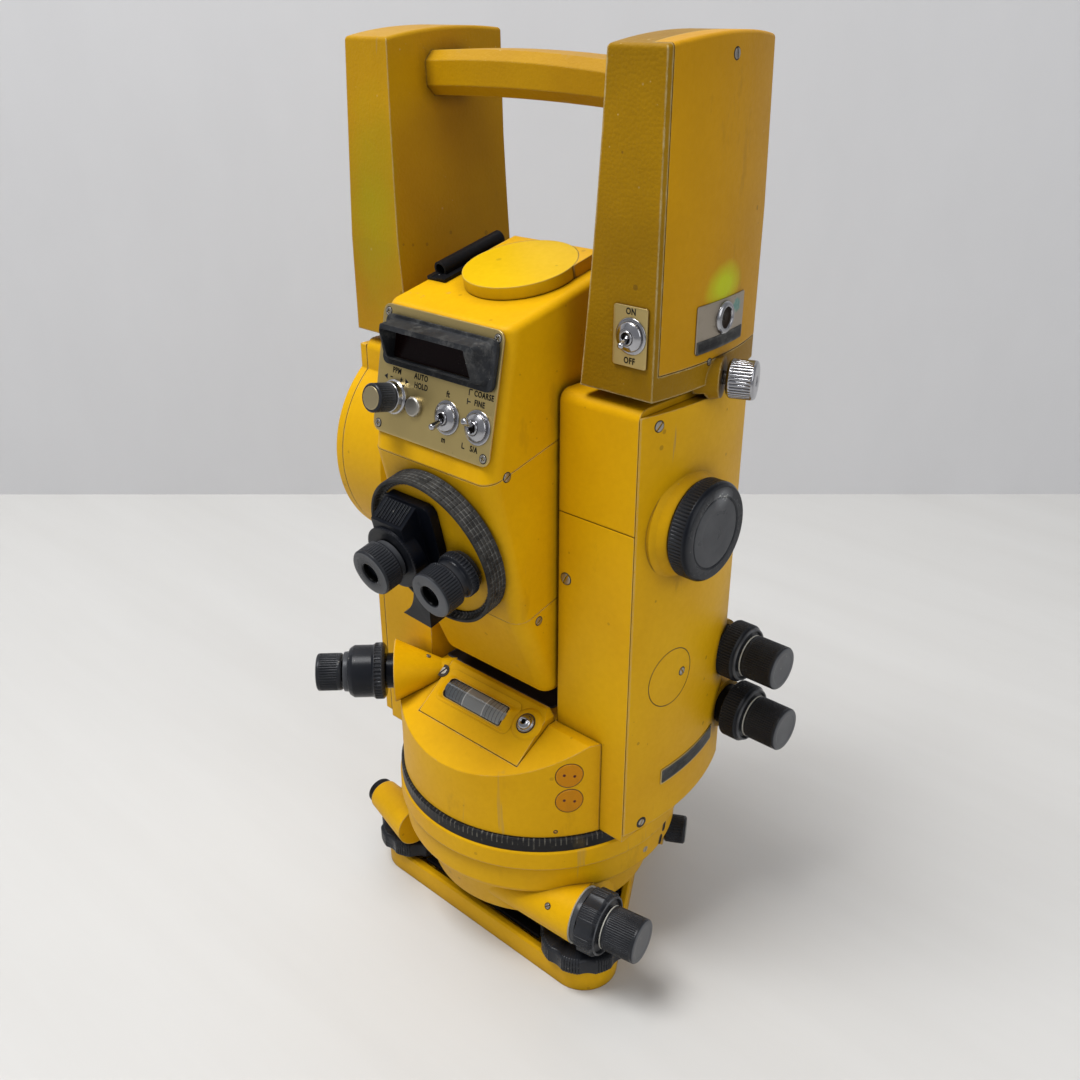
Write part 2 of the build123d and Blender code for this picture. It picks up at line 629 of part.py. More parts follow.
def battery_case():
    """Right tower: open frame that the battery slides into."""
    case = tower_blank(STANDARD_FRONT) - tower_hollow() - cover_window(281.0, 400, GAP)
    boss = turned([(0, 0), (10.0, 0), (7.5, 9.0), (0, 9.0)])
    boss = along(THUMBSCREW_POS, heading(THUMBSCREW_AZIMUTH), boss)
    boss -= box(40, 76.6, -40, 60, 250, STANDARD_TOP + 0.4)
    case = case + (boss & box(60, 90, -40, 60, TOWER_BOTTOM - 10, 280.5))
    case = case + handle_foot(50, 66)
    case -= along(THUMBSCREW_POS, heading(THUMBSCREW_AZIMUTH), disc(2.6, -4, 12))
    case -= box(60, 70.5, -9, -5, 288, 299)
    return case


def battery_cover():
    """Outer and front skin of the battery unit."""
    cover = tower_blank(STANDARD_FRONT) & cover_window(281.0, 400, 0)
    cover -= box(60, 72.4, -23.0, 28.3, 270, TOWER_TOP - 6)
    return cover - along((74, JACK[0], JACK[1]), (1, 0, 0), disc(4.1, -10, 10))


def battery_cells():
    """Row of three cells inside the right tower."""
    cells = [disc(5.6, 288, 366, 64.5, y) for y in (-12.0, 0.5, 13.0)]
    return Compound([solid for cell in cells for solid in cell.solids()])


def thumbscrew():
    """Bright knurled screw that locks the battery unit."""
    screw = turned([
        (0, 2.0), (2.5, 2.0), (2.5, 11.0), (6.2, 11.0), (7.2, 12.2), (7.2, 20.2), (6.4, 21.2), (0, 21.2),
    ])
    return along(THUMBSCREW_POS, heading(THUMBSCREW_AZIMUTH), screw)


def power_fittings():
    """Power switch plate with its bush, and the charging socket: two solids."""
    x, z = SWITCH
    y = STANDARD_FRONT
    plate = box(58.3, 73.0, y - 0.9, y - 0.05, 283.0, 304.0)
    nut = turned([(2.1, 0.5), (6.4, 0.5), (6.4, 2.6), (4.6, 4.2), (3.7, 4.2), (2.1, 2.2)])
    nut = along((x, y, z), (0, -1, 0), nut)
    hole = along((x, y, z), (0, -1, 0), disc(2.1, -1, 5))
    socket = turned([(2.6, -2), (4.0, -2), (4.0, 4.7), (5.4, 4.7), (5.4, 6.2), (2.6, 6.2)])
    socket = along((73, *JACK), (1, 0, 0), socket)
    return Compound([*(plate + nut - hole).solids(), *socket.solids()])


def toggle(length, r):
    """Switch lever along +Z on a ball that sits in its bush; the ball's centre is the pivot."""
    lever = turned([(0, 0), (r * 0.8, 0), (r, length - 1.0), (r * 0.7, length), (0, length)])
    return lever + Sphere(1.9)


def power_toggle():
    """Power switch lever, down."""
    x, z = SWITCH
    return Pos(x, STANDARD_FRONT - 2.2, z) * Rot(90 + 26, 0, 0) * toggle(5.8, 1.2)


# ---- telescope, made level in its own frame with the eyepiece end towards -Y ----------------------
def tilted(shape):
    """Turns a level telescope piece to its resting tilt and lifts it to the trunnion."""
    return Pos(0, 0, TRUNNION_Z) * Rot(TILT, 0, 0) * shape


def body_outline(h0, h1):
    """Side outline of the body between two heights, as (y, z) points."""
    marks = [
        (BOTTOM_FRONT, HOUSING_BOTTOM), (FRONT, LOWER_SEAM), (FRONT + 0.8, UPPER_SEAM),
        (TOP_FRONT, HOUSING_TOP),
    ]
    front = [(s, h) for s, h in marks if h0 <= h <= h1]
    rear_marks = [(TOP_REAR, HOUSING_TOP), (REAR, UPPER_SEAM), (REAR, LOWER_SEAM), (38.0, HOUSING_BOTTOM)]
    rear = [(s, h) for s, h in rear_marks if h0 <= h <= h1]
    return [(-s, h) for s, h in front] + [(s, h) for s, h in rear]


def body_part(h0, h1, corner):
    """Slice of the telescope body with rounded long corners."""
    part = prism_yz(body_outline(h0, h1), -BODY_HALF, BODY_HALF)
    rising = [edge for edge in part.edges() if abs(edge.tangent_at(0.5).Z) > 0.7]
    return fillet(rising, corner)


def edm_housing():
    """Upper casting with the distance meter's electronics."""
    part = body_part(UPPER_SEAM, HOUSING_TOP, 6.0)
    top = part.faces().sort_by(Axis.Z)[-1]
    part = fillet(top.edges(), 3.0)
    part -= prism_yz([
        (-46, UPPER_SEAM - 1), (-46, 44), (-28, 80.5), (25, 80.5), (40, 36), (40, UPPER_SEAM - 1),
    ], -28, 28)
    pad_top = HOUSING_TOP + CAP_THICK
    part += prism_yz([
        (CAP_CENTRE, HOUSING_TOP - 0.5), (27.6, HOUSING_TOP - 0.5), (27.6, pad_top - 2.0),
        (25.0, pad_top), (CAP_CENTRE, pad_top),
    ], CAP_X - CAP_R + 0.4, CAP_X + CAP_R - 0.4)
    part -= disc(CAP_R + 0.15, HOUSING_TOP + 0.1, HOUSING_TOP + 10, CAP_X, CAP_CENTRE)
    part -= box(-40, 40, -90, 90, UPPER_SEAM - 2, UPPER_SEAM + 0.15)
    part -= panel_frame(Pos(*BUTTON, -2.0) * Cylinder(4.3, 5))
    for x in TOGGLE_XS:
        part -= panel_frame(Pos(x, TOGGLE_UP, 0) * Cylinder(2.6, 3))
    return part


def telescope_housing():
    """Middle casting: carries both axles, the optics and the focusing ring."""
    part = body_part(LOWER_SEAM, UPPER_SEAM, 6.0)
    part -= box(-28, 28, -40, 40, LOWER_SEAM - 1, UPPER_SEAM + 1)
    spigot = along((0, -FRONT + 8, 0), (0, -1, 0), disc(29.0, 0, RING_FRONT - FRONT + 8 - 3.3))
    part = part + spigot
    part = part + along((0, -46, 0), (0, 1, 0), disc(29.0, 0, 92))
    part -= along((0, -44, 0), (0, 1, 0), disc(LENS_BORE_R, 0, 120))
    part -= along((-45, 0, 0), (1, 0, 0), disc(6.0, 0, 22))
    part -= along((45, 0, 0), (-1, 0, 0), disc(6.0, 0, 22))
    part -= along((RIGHT_EYE[0], -50, RIGHT_EYE[1]), (0, -1, 0), disc(5.0, 0, 30))
    part -= along((LEFT_EYE[0], -50, LEFT_EYE[1]), (0, -1, 0), disc(5.0, 0, 30))
    return part - box(-40, 40, -90, 90, LOWER_SEAM - 1, LOWER_SEAM + 0.15)


def telescope_base():
    """Lower cover under the telescope."""
    part = body_part(HOUSING_BOTTOM, LOWER_SEAM, 7.0)
    bottom = part.faces().sort_by(Axis.Z)[0]
    part = fillet(bottom.edges(), 6.0)
    return part - prism_yz([(-48, LOWER_SEAM + 1), (-42, -67), (32, -67), (40, LOWER_SEAM + 1)], -27, 27)


def panel_frame(shape):
    """Carries a shape from the panel's own frame (x across, y up the panel, z outwards)."""
    return Pos(0, -PANEL_MID, PANEL_MID_H) * Rot(PANEL_LEAN, 0, 0) * shape


def display_panel():
    """Silver plate with the bushes of both toggles."""
    plate = Pos(0, 0, 0.1) * extrude(RectangleRounded(2 * PANEL_HALF_W, 2 * PANEL_HALF_H, 3.5), 0.9)
    for x in TOGGLE_XS:
        plate = plate + Pos(x, TOGGLE_UP, 0) * turned([
            (2.1, 0.5), (6.5, 0.5), (6.5, 1.6), (4.4, 3.4), (3.7, 3.4), (2.1, 1.6),
        ])
        plate -= Pos(x, TOGGLE_UP, 0) * Cylinder(2.1, 12)
    pivot = turned([(0, 0.5), (6.6, 0.5), (6.6, 3.2), (2.0, 3.2), (2.0, 4.6), (0, 4.6)])
    plate = plate + Pos(*PPM_KNOB, 0) * pivot
    plate -= Pos(*BUTTON, 0) * Cylinder(3.9 + FIT, 12)
    return tilted(panel_frame(plate))


def display_hood():
    """Black bezel with a hood that shades the digits; the hood slopes back towards its foot."""
    bezel = Pos(1.2, 11.7, 1.05) * extrude(RectangleRounded(57.6, 18.6, 3.0), 1.6)
    hood = Pos(1.4, 12.0, 2.4) * extrude(RectangleRounded(53.0, 15.6, 3.0), 7.4, taper=16)
    shell = bezel + hood
    shell -= Pos(-0.6, 10.6, 0) * extrude(RectangleRounded(44.0, 10.4, 1.0), 12)
    return tilted(panel_frame(shell - prism_yz([(3.0, 3.6), (16.4, 10.6), (3.0, 10.6)], -40, 40)))


def display_glass():
    """Window over the digits."""
    return tilted(panel_frame(Pos(-0.6, 10.6, 1.05) * extrude(RectangleRounded(43.6, 10.0, 0.8), 0.7)))


def ppm_knob():
    """Small setting knob on the panel."""
    knob = turned([
        (2.0 + FIT, 3.5), (5.5, 3.5), (5.5, 13.2), (5.0, 13.8), (0, 13.8), (0, 4.9), (2.0 + FIT, 4.9),
    ])
    return tilted(panel_frame(Pos(*PPM_KNOB, 0) * knob))


def hold_button():
    """Round push button in the panel."""
    button = turned([(0, -1.2), (3.9, -1.2), (3.9, 2.4), (3.3, 3.0), (0, 3.0)])
    return tilted(panel_frame(Pos(*BUTTON, 0) * button))


def panel_toggle(x, lean):
    return tilted(panel_frame(Pos(x, TOGGLE_UP, 1.4) * Rot(lean, 0, 0) * toggle(8.4, 1.1)))


def top_cap():
    """Round yellow cap over the distance meter."""
    cap = disc(CAP_R, HOUSING_TOP + 0.3, HOUSING_TOP + CAP_THICK, CAP_X, CAP_CENTRE)
    return tilted(cap)


def peep_sight():
    """Open black sighting tube on a foot."""
    tube = along((-26.4, -8.6, 88.6), (0, 1, 0), disc(3.1, 0, 33.4) - disc(2.2, -1, 35))
    foot = box(-30.4, -20.6, -12.4, 23.6, HOUSING_TOP + 0.05, 87.0)
    foot -= along((-26.4, -20, 88.6), (0, 1, 0), disc(2.2, 0, 60))
    return tilted(tube + foot)


def focus_ring():
    """Focusing ring round the eyepiece end."""
    ring = turned([
        (29.0 + FIT, FRONT + 1.1), (FOCUS_R - 0.6, FRONT + 1.1), (FOCUS_R, FRONT + 1.8),
        (FOCUS_R, RING_FRONT - 0.6), (FOCUS_R - 0.6, RING_FRONT), (30.6, RING_FRONT),
        (30.6, RING_FRONT - 2.6), (29.0 + FIT, RING_FRONT - 2.6),
    ])
    return tilted(along((0, 0, 0), (0, -1, 0), ring))


def facing(outline, s0, s1):
    """Flat outline in x and height, made solid between two distances ahead of the trunnion."""
    return Plane.XZ * Pos(0, 0, s0) * extrude(outline, amount=s1 - s0)


def prism_block():
    """Black prism casing between the eyepieces, and the stems both eyepieces turn on: two solids."""
    block = prism_yz([
        (-63.2, -18.0), (-63.2, 22.5), (-66.0, 22.5), (-76.0, 17.0), (-76.0, -9.0), (-70.0, -18.0),
    ], -17.0, 0.5)
    back = facing(Pos((BLOCK_RIGHT - 19.0) / 2, 1.5) * RectangleRounded(BLOCK_RIGHT + 19.0, 43.0, 4.0), 63.2, 67.0)
    sweep = ThreePointArc((-15.8, -30.8), (-10.0, -25.6), (-4.5, -14.0))
    fin = Polyline([(-4.5, -14.0), (-4.5, -8.0), (5.0, -8.0), (0.4, -32.0), (-15.8, -30.8)])
    fin = facing(make_face([sweep, fin]), RING_FRONT + GAP, 74.5)
    flange = along((LEFT_EYE[0], -71.0, LEFT_EYE[1]), (0, -1, 0), disc(13.4, 0, 6.0))
    stem = along((LEFT_EYE[0], -62.0, LEFT_EYE[1]), (0, -1, 0), disc(5.0 - FIT, 0, 24.0))
    main_stem = along((RIGHT_EYE[0], -60.0, RIGHT_EYE[1]), (0, -1, 0), disc(5.0 - FIT, 0, 20.0))
    casing = one([block, back, fin, flange, stem])
    casing -= along((RIGHT_EYE[0], -62.0, RIGHT_EYE[1]), (0, -1, 0), disc(11.2, 0, 30.0))
    return Compound([*tilted(casing).solids(), *tilted(main_stem).solids()])


def eyepiece(at, s0, s1, r):
    """Knurled eyepiece with an eye hole."""
    shape = turned([
        (5.0 + FIT, s0), (r - 1.2, s0), (r - 1.2, s0 + 3.0), (r, s0 + 4.0), (r, s1 - 1.0), (r - 0.8, s1),
        (4.2, s1), (3.0, s1 - 1.6), (5.0 + FIT, s1 - 1.8),
    ])
    return tilted(along((at[0], 0, at[1]), (0, -1, 0), shape))


def trunnion_axles():
    """Both axles of the telescope, two solids."""
    right = along((28.3, 0, 0), (1, 0, 0), disc(6.0 - FIT, 0, 18.0))
    left = along((-28.3, 0, 0), (-1, 0, 0), disc(6.0 - FIT, 0, 27.0))
    return Compound([*tilted(right).solids(), *tilted(left).solids()])


def vertical_circle():
    """Glass circle on the left axle."""
    return tilted(along((-52.0, 0, 0), (-1, 0, 0), disc(36.0, 0, 2.5) - disc(6.0 - FIT, -1, 4)))


def objective_cell():
    """Black ring that holds the objective at the rear."""
    cell = along((0, REAR, 0), (0, 1, 0), disc(30.0, 0.15, 14.0) - disc(25.6, 0, 15))
    return tilted(cell)


def objective_lens():
    """Objective glass, shared by the sight and the distance meter."""
    return tilted(along((0, REAR - 5, 0), (0, 1, 0), disc(25.4, 0, 8.0)))


# ---- export -------------------------------------------------------------------------------------
def all_parts():
    parts = {
        "base_plate": base_plate(),
        "spring_plate": spring_plate(),
        "tribrach_body": tribrach_body(),
        "axis_bush": axis_bush(),
        "lower_clamp_stem": lower_fittings(),
        "circle_drive_knob": circle_drive_knob(),
        "lower_collar": lower_collar(),
        "circle_ring": circle_ring(),
        "horizontal_circle": horizontal_circle(),
        "lower_clamp_ring": clamp_ring(LOWER_CLAMP_POS, heading(LOWER_CLAMP_AZIMUTH), LOWER_RING_R),
        "lower_tangent_knob": tangent_knob(LOWER_CLAMP_POS, heading(LOWER_CLAMP_AZIMUTH)),
        "alidade_spindle": alidade_spindle(),
        "alidade_drum": alidade_drum(),
        "vial_housing": vial_housing(),
        "vial_tube": vial_tube(),
        "plummet_housing": plummet_housing(),
        "plummet_tube": plummet_tube(),
        "plummet_focus_ring": plummet_focus_ring(),
        "plummet_eyepiece": plummet_eyepiece(),
        "right_standard": standard_right(),
        "left_standard": standard_left(),
        "right_side_cover": side_cover_right(),
        "left_side_cover": side_cover_left(),
        "trunnion_bearings": trunnion_bearings(),
        "micrometer_knob": micrometer_knob(),
        "clamp_stems": clamp_fittings(),
        "vertical_clamp_ring": clamp_ring(VERTICAL_CLAMP, (1, 0, 0), CLAMP_RING_R),
        "vertical_tangent_knob": tangent_knob(VERTICAL_CLAMP, (1, 0, 0)),
        "horizontal_clamp_ring": clamp_ring(HORIZONTAL_CLAMP, (1, 0, 0), CLAMP_RING_R),
        "horizontal_tangent_knob": tangent_knob(HORIZONTAL_CLAMP, (1, 0, 0)),
        "carry_handle": carry_handle(),
        "battery_case": battery_case(),
        "battery_cover": battery_cover(),
        "battery_cells": battery_cells(),
        "battery_thumbscrew": thumbscrew(),
        "power_fittings": power_fittings(),
        "power_toggle": power_toggle(),
        "edm_housing": tilted(edm_housing()),
        "telescope_housing": tilted(telescope_housing()),
        "telescope_base": tilted(telescope_base()),
        "display_panel": display_panel(),
        "display_hood": display_hood(),
        "display_glass": display_glass(),
        "ppm_knob": ppm_knob(),
        "hold_button": hold_button(),
        "unit_toggle": panel_toggle(TOGGLE_XS[0], 25.0),
        "mode_toggle": panel_toggle(TOGGLE_XS[1], -22.0),
        "top_cap": top_cap(),
        "peep_sight": peep_sight(),
        "focus_ring": focus_ring(),
        "prism_block": prism_block(),
        "main_eyepiece": eyepiece(RIGHT_EYE, 64.0, 83.5, 9.5),
        "reading_eyepiece": eyepiece(LEFT_EYE, 77.6, 88.5, 9.8),
        "trunnion_axles": trunnion_axles(),
        "vertical_circle": vertical_circle(),
        "objective_cell": objective_cell(),
        "objective_lens": objective_lens(),
    }
    for number, (x, y) in enumerate(foot_points(), start=1):
        parts[f"foot_screw_{number}"] = foot_screw(x, y)
    return parts


def main():
    os.makedirs("parts", exist_ok=True)
    for name, shape in all_parts().items():
        export_step(shape, f"parts/{name}.step")


main()
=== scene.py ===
import logging
import math
from dataclasses import dataclass
from enum import Enum
from typing import Any, Callable, Sequence

import bmesh
import bpy
import numpy as np
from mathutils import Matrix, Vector


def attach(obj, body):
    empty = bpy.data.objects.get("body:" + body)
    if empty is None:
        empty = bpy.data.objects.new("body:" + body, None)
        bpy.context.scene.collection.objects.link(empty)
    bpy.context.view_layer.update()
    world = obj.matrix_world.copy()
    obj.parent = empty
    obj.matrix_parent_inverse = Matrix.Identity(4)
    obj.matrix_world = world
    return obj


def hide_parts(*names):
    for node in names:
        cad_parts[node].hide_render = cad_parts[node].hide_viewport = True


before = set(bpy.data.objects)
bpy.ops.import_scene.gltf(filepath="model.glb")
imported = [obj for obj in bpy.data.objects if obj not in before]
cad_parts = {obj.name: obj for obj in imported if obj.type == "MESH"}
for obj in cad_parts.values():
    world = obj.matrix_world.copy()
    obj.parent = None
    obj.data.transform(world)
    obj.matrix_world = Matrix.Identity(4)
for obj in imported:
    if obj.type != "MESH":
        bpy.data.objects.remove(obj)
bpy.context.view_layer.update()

MM = 0.001
TURN = 2.0 * math.pi
WELD, SEAL = 1e-6, 3e-6  # metres within which points are merged
FLAT, SHARP, ROUNDED = (math.radians(angle) for angle in (1.0, 32.0, 35.0))  # kinds of edge by their turn
RUNOUT = 0.4  # millimetres in which a knurl reaches its depth
MIDDLE = Vector((0.0, 0.0, 0.2))
log = logging.getLogger("total_station")

Colour = tuple[float, float, float]
Point3 = tuple[float, float, float]
Grid = np.ndarray
Material = bpy.types.Material
Object = bpy.types.Object

# ---- Places: where a piece is made, in millimetres ----


@dataclass(frozen=True)
class Place:
    """A local frame in the instrument: an origin in millimetres and three unit directions."""

    origin: Point3 = (0.0, 0.0, 0.0)
    across: Point3 = (1.0, 0.0, 0.0)
    up: Point3 = (0.0, 1.0, 0.0)
    out: Point3 = (0.0, 0.0, 1.0)

    @property
    def basis(self) -> Grid:
        """The three directions as rows of a matrix."""
        return np.array([self.across, self.up, self.out], float)

    def carry(self, points: Grid) -> Grid:
        """Local points to the instrument's frame: origin plus each coordinate along its direction.

        Args:
            points: array of local points, millimetres, last axis of length 3.

        Returns:
            The same array in metres in the instrument's frame.
        """
        return (np.asarray(points, float) @ self.basis + np.array(self.origin)) * MM

    def moved(self, x: float = 0.0, y: float = 0.0, z: float = 0.0) -> "Place":
        """The same directions about another local point."""
        origin = np.array([x, y, z], float) @ self.basis + np.array(self.origin)
        return Place(tuple(origin), self.across, self.up, self.out)

    def leaned(self, degrees: float) -> "Place":
        """Turned about its own across direction by the right-hand rule.

        Args:
            degrees: the turn.

        Returns:
            The turned frame.
        """
        c, s = math.cos(math.radians(degrees)), math.sin(math.radians(degrees))
        up, out = np.array(self.up), np.array(self.out)
        return Place(self.origin, self.across, tuple(c * up + s * out), tuple(c * out - s * up))

    def spun(self, degrees: float) -> "Place":
        """Turned about its own out direction by the right-hand rule.

        Args:
            degrees: the turn.

        Returns:
            The turned frame.
        """
        c, s = math.cos(math.radians(degrees)), math.sin(math.radians(degrees))
        across, up = np.array(self.across), np.array(self.up)
        return Place(self.origin, tuple(c * across + s * up), tuple(c * up - s * across), self.out)

    @staticmethod
    def axis(origin: Point3, direction: Point3) -> "Place":
        """A frame whose out direction runs along an axis.

        Args:
            origin: a point of the axis, millimetres.
            direction: the axis' direction, any length.

        Returns:
            The frame; its up direction is as near to the world's Z as it can be.
        """
        out = np.array(direction, float) / np.linalg.norm(direction)
        helper = np.array([0.0, 0.0, 1.0]) if abs(out[2]) < 0.9 else np.array([0.0, 1.0, 0.0])
        across = np.cross(helper, out)
        across /= np.linalg.norm(across)
        return Place(tuple(origin), tuple(across), tuple(np.cross(out, across)), tuple(out))


@dataclass(frozen=True)
class Bulge:
    """A spot on an upright wall that is round in plan; what lies on it bends with the wall."""

    axis: tuple[float, float]
    radius: float
    azimuth: float
    height: float

    @staticmethod
    def round(radius: float, azimuth: float, height: float) -> "Bulge":
        """A spot on a wall about the vertical axis of the instrument."""
        return Bulge((0.0, 0.0), radius, azimuth, height)

    @staticmethod
    def through(start: tuple[float, float], middle: tuple[float, float], end: tuple[float, float],
                y: float, height: float) -> "Bulge":
        """A spot on the wall whose plan is the circle through three points.

        The centre is where both chords' perpendicular bisectors meet, from two linear equations.

        Args:
            start: first plan point.
            middle: second plan point.
            end: third plan point.
            y: the spot's y.
            height: the spot's height.

        Returns:
            The spot.
        """
        a, b, c = (np.array(p, float) for p in (start, middle, end))
        centre = np.linalg.solve(2 * np.array([b - a, c - a]), [b @ b - a @ a, c @ c - a @ a])
        radius = float(np.linalg.norm(a - centre))
        return Bulge(tuple(centre), radius, 0.0, height).at(y, height)

    def at(self, y: float, height: float) -> "Bulge":
        """The same wall at another y and height."""
        turn = math.degrees(math.asin((y - self.axis[1]) / self.radius))
        return Bulge(self.axis, self.radius, turn, height)

    def shifted(self, along: float, up: float) -> "Bulge":
        """The same wall a little further along and up."""
        azimuth = self.azimuth + math.degrees(along / self.radius)
        return Bulge(self.axis, self.radius, azimuth, self.height + up)

    @property
    def frame(self) -> "Place":
        """Flat frame at the spot.

        Returns:
            The frame, across along the wall and out along its normal.
        """
        out = np.array(heading(self.azimuth))
        origin = np.array([*self.axis, self.height]) + self.radius * out
        return Place(tuple(origin), (-out[1], out[0], 0.0), (0.0, 0.0, 1.0), tuple(out))

    def carry(self, points: Grid) -> Grid:
        """Local points to the instrument's frame, bent round the wall.

        The first coordinate becomes an arc length, the second height and the third distance
        outwards from the wall.

        Args:
            points: array of local points, millimetres, last axis of length 3.

        Returns:
            The same array in metres in the instrument's frame.
        """
        points = np.asarray(points, float)
        turn = math.radians(self.azimuth) + points[..., 0] / self.radius
        reach = self.radius + points[..., 2]
        return np.stack([self.axis[0] + reach * np.cos(turn), self.axis[1] + reach * np.sin(turn),
                         self.height + points[..., 1]], axis=-1) * MM


def heading(azimuth: float) -> Point3:
    """Level unit vector; azimuth 0 is +X and 90 is +Y."""
    return (math.cos(math.radians(azimuth)), math.sin(math.radians(azimuth)), 0.0)


TILT = 13.0
PANEL_LEAN = 65.2
WORLD = Place()
TELESCOPE = Place((0.0, 0.0, 218.5)).leaned(TILT)
PANEL = TELESCOPE.moved(0.0, -43.5, 63.0).leaned(PANEL_LEAN)
SIGHT_LINE = Place.axis(TELESCOPE.origin, tuple(-TELESCOPE.basis[1]))


# ---- Surfaces ----


def eased(outline: Sequence[tuple[float, float]], ease: float = 0.3, steps: int = 4) -> Grid:
    """Rounds the corners of an open profile.

    Each inner corner c between neighbours a and b gives way to the curve
    (1-u)^2 a' + 2u(1-u) c + u^2 b', where a' and b' lie on the two sides, ease away from c.

    Args:
        outline: corner points.
        ease: distance cut from each side of a corner, at most 45 percent of that side.
        steps: samples on each rounding.

    Returns:
        Array (n, 3): both coordinates and how sharp the edge is there, from 0 to 1.
    """
    corners = np.array(outline, float)
    rows = [np.array([[*corners[0], 0.0]])]
    u = np.linspace(0.0, 1.0, steps)[:, None]
    for before, corner, after in zip(corners[:-2], corners[1:-1], corners[2:]):
        to_before, to_after = before - corner, after - corner
        la, lb = np.linalg.norm(to_before), np.linalg.norm(to_after)
        if min(la, lb) < 1e-6:
            continue
        reach = min(ease, 0.45 * la, 0.45 * lb)
        start, stop = corner + to_before / la * reach, corner + to_after / lb * reach
        curve = (1 - u) ** 2 * start + 2 * u * (1 - u) * corner + u ** 2 * stop
        turn = 1.0 - abs(float(np.dot(to_before, to_after) / (la * lb)))
        rows.append(np.hstack([curve, np.full((steps, 1), min(1.0, turn))]))
    rows.append(np.array([[*corners[-1], 0.0]]))
    return np.vstack(rows)


class Grip(Enum):
    """How the rim of a round piece is cut for the fingers."""

    PLAIN = "plain"
    RIBS = "ribs"
    TEETH = "teeth"
    PADS = "pads"
    LOBES = "lobes"


@dataclass(frozen=True)
class Knurl:
    """Grip cut into a round rim between two stations of its axis."""

    grip: Grip = Grip.PLAIN
    count: int = 0
    depth: float = 0.0
    start: float = 0.0
    end: float = 0.0
    rows: int = 8

    def groove(self, angle: Grid, station: Grid) -> Grid:
        """Depth of the grip at each point, millimetres.

        Ribs are one less the square root of |sin| of the angle times half the count, so that they
        are round ridges with narrow roots. Teeth are a cosine made flat-topped. Pads lie in rows with
        a narrow channel round each. Lobes take half of each sector, ribbed, and the other half is a
        smooth hollow.

        Args:
            angle: angle about the axis, radians.
            station: distance along the axis.

        Returns:
            How far the surface lies under the rim.
        """
        inside = np.clip((station - self.start) / RUNOUT, 0, 1) * np.clip((self.end - station) / RUNOUT, 0, 1)
        if self.grip is Grip.RIBS:
            cut = 1.0 - np.sqrt(np.abs(np.sin(angle * self.count / 2.0)))
        elif self.grip is Grip.TEETH:
            cut = np.clip(0.5 - 1.1 * np.cos(angle * self.count), 0.0, 1.0)
        elif self.grip is Grip.PADS:
            row = (station - self.start) / (self.end - self.start) * self.rows
            across = np.abs(np.sin(math.pi * row))
            around = np.abs(np.sin(angle * self.count / 2.0))
            cut = 1.0 - np.clip(1.5 * np.minimum(across, 1.6 * around), 0.0, 1.0)
        elif self.grip is Grip.LOBES:
            sector = TURN / self.count
            off = np.abs((angle % sector) / sector - 0.5) * 2.0
            hollow = np.clip((off - 0.5) / 0.5, 0.0, 1.0)
            ribs = 0.35 * np.clip(1.0 - 1.6 * np.abs(np.sin(angle * self.count * 6.0)), 0.0, 1.0)
            cut = np.where(off < 0.5, ribs, 1.0 - (1.0 - hollow) ** 2)
        else:
            cut = np.zeros_like(angle)
        return self.depth * cut * inside


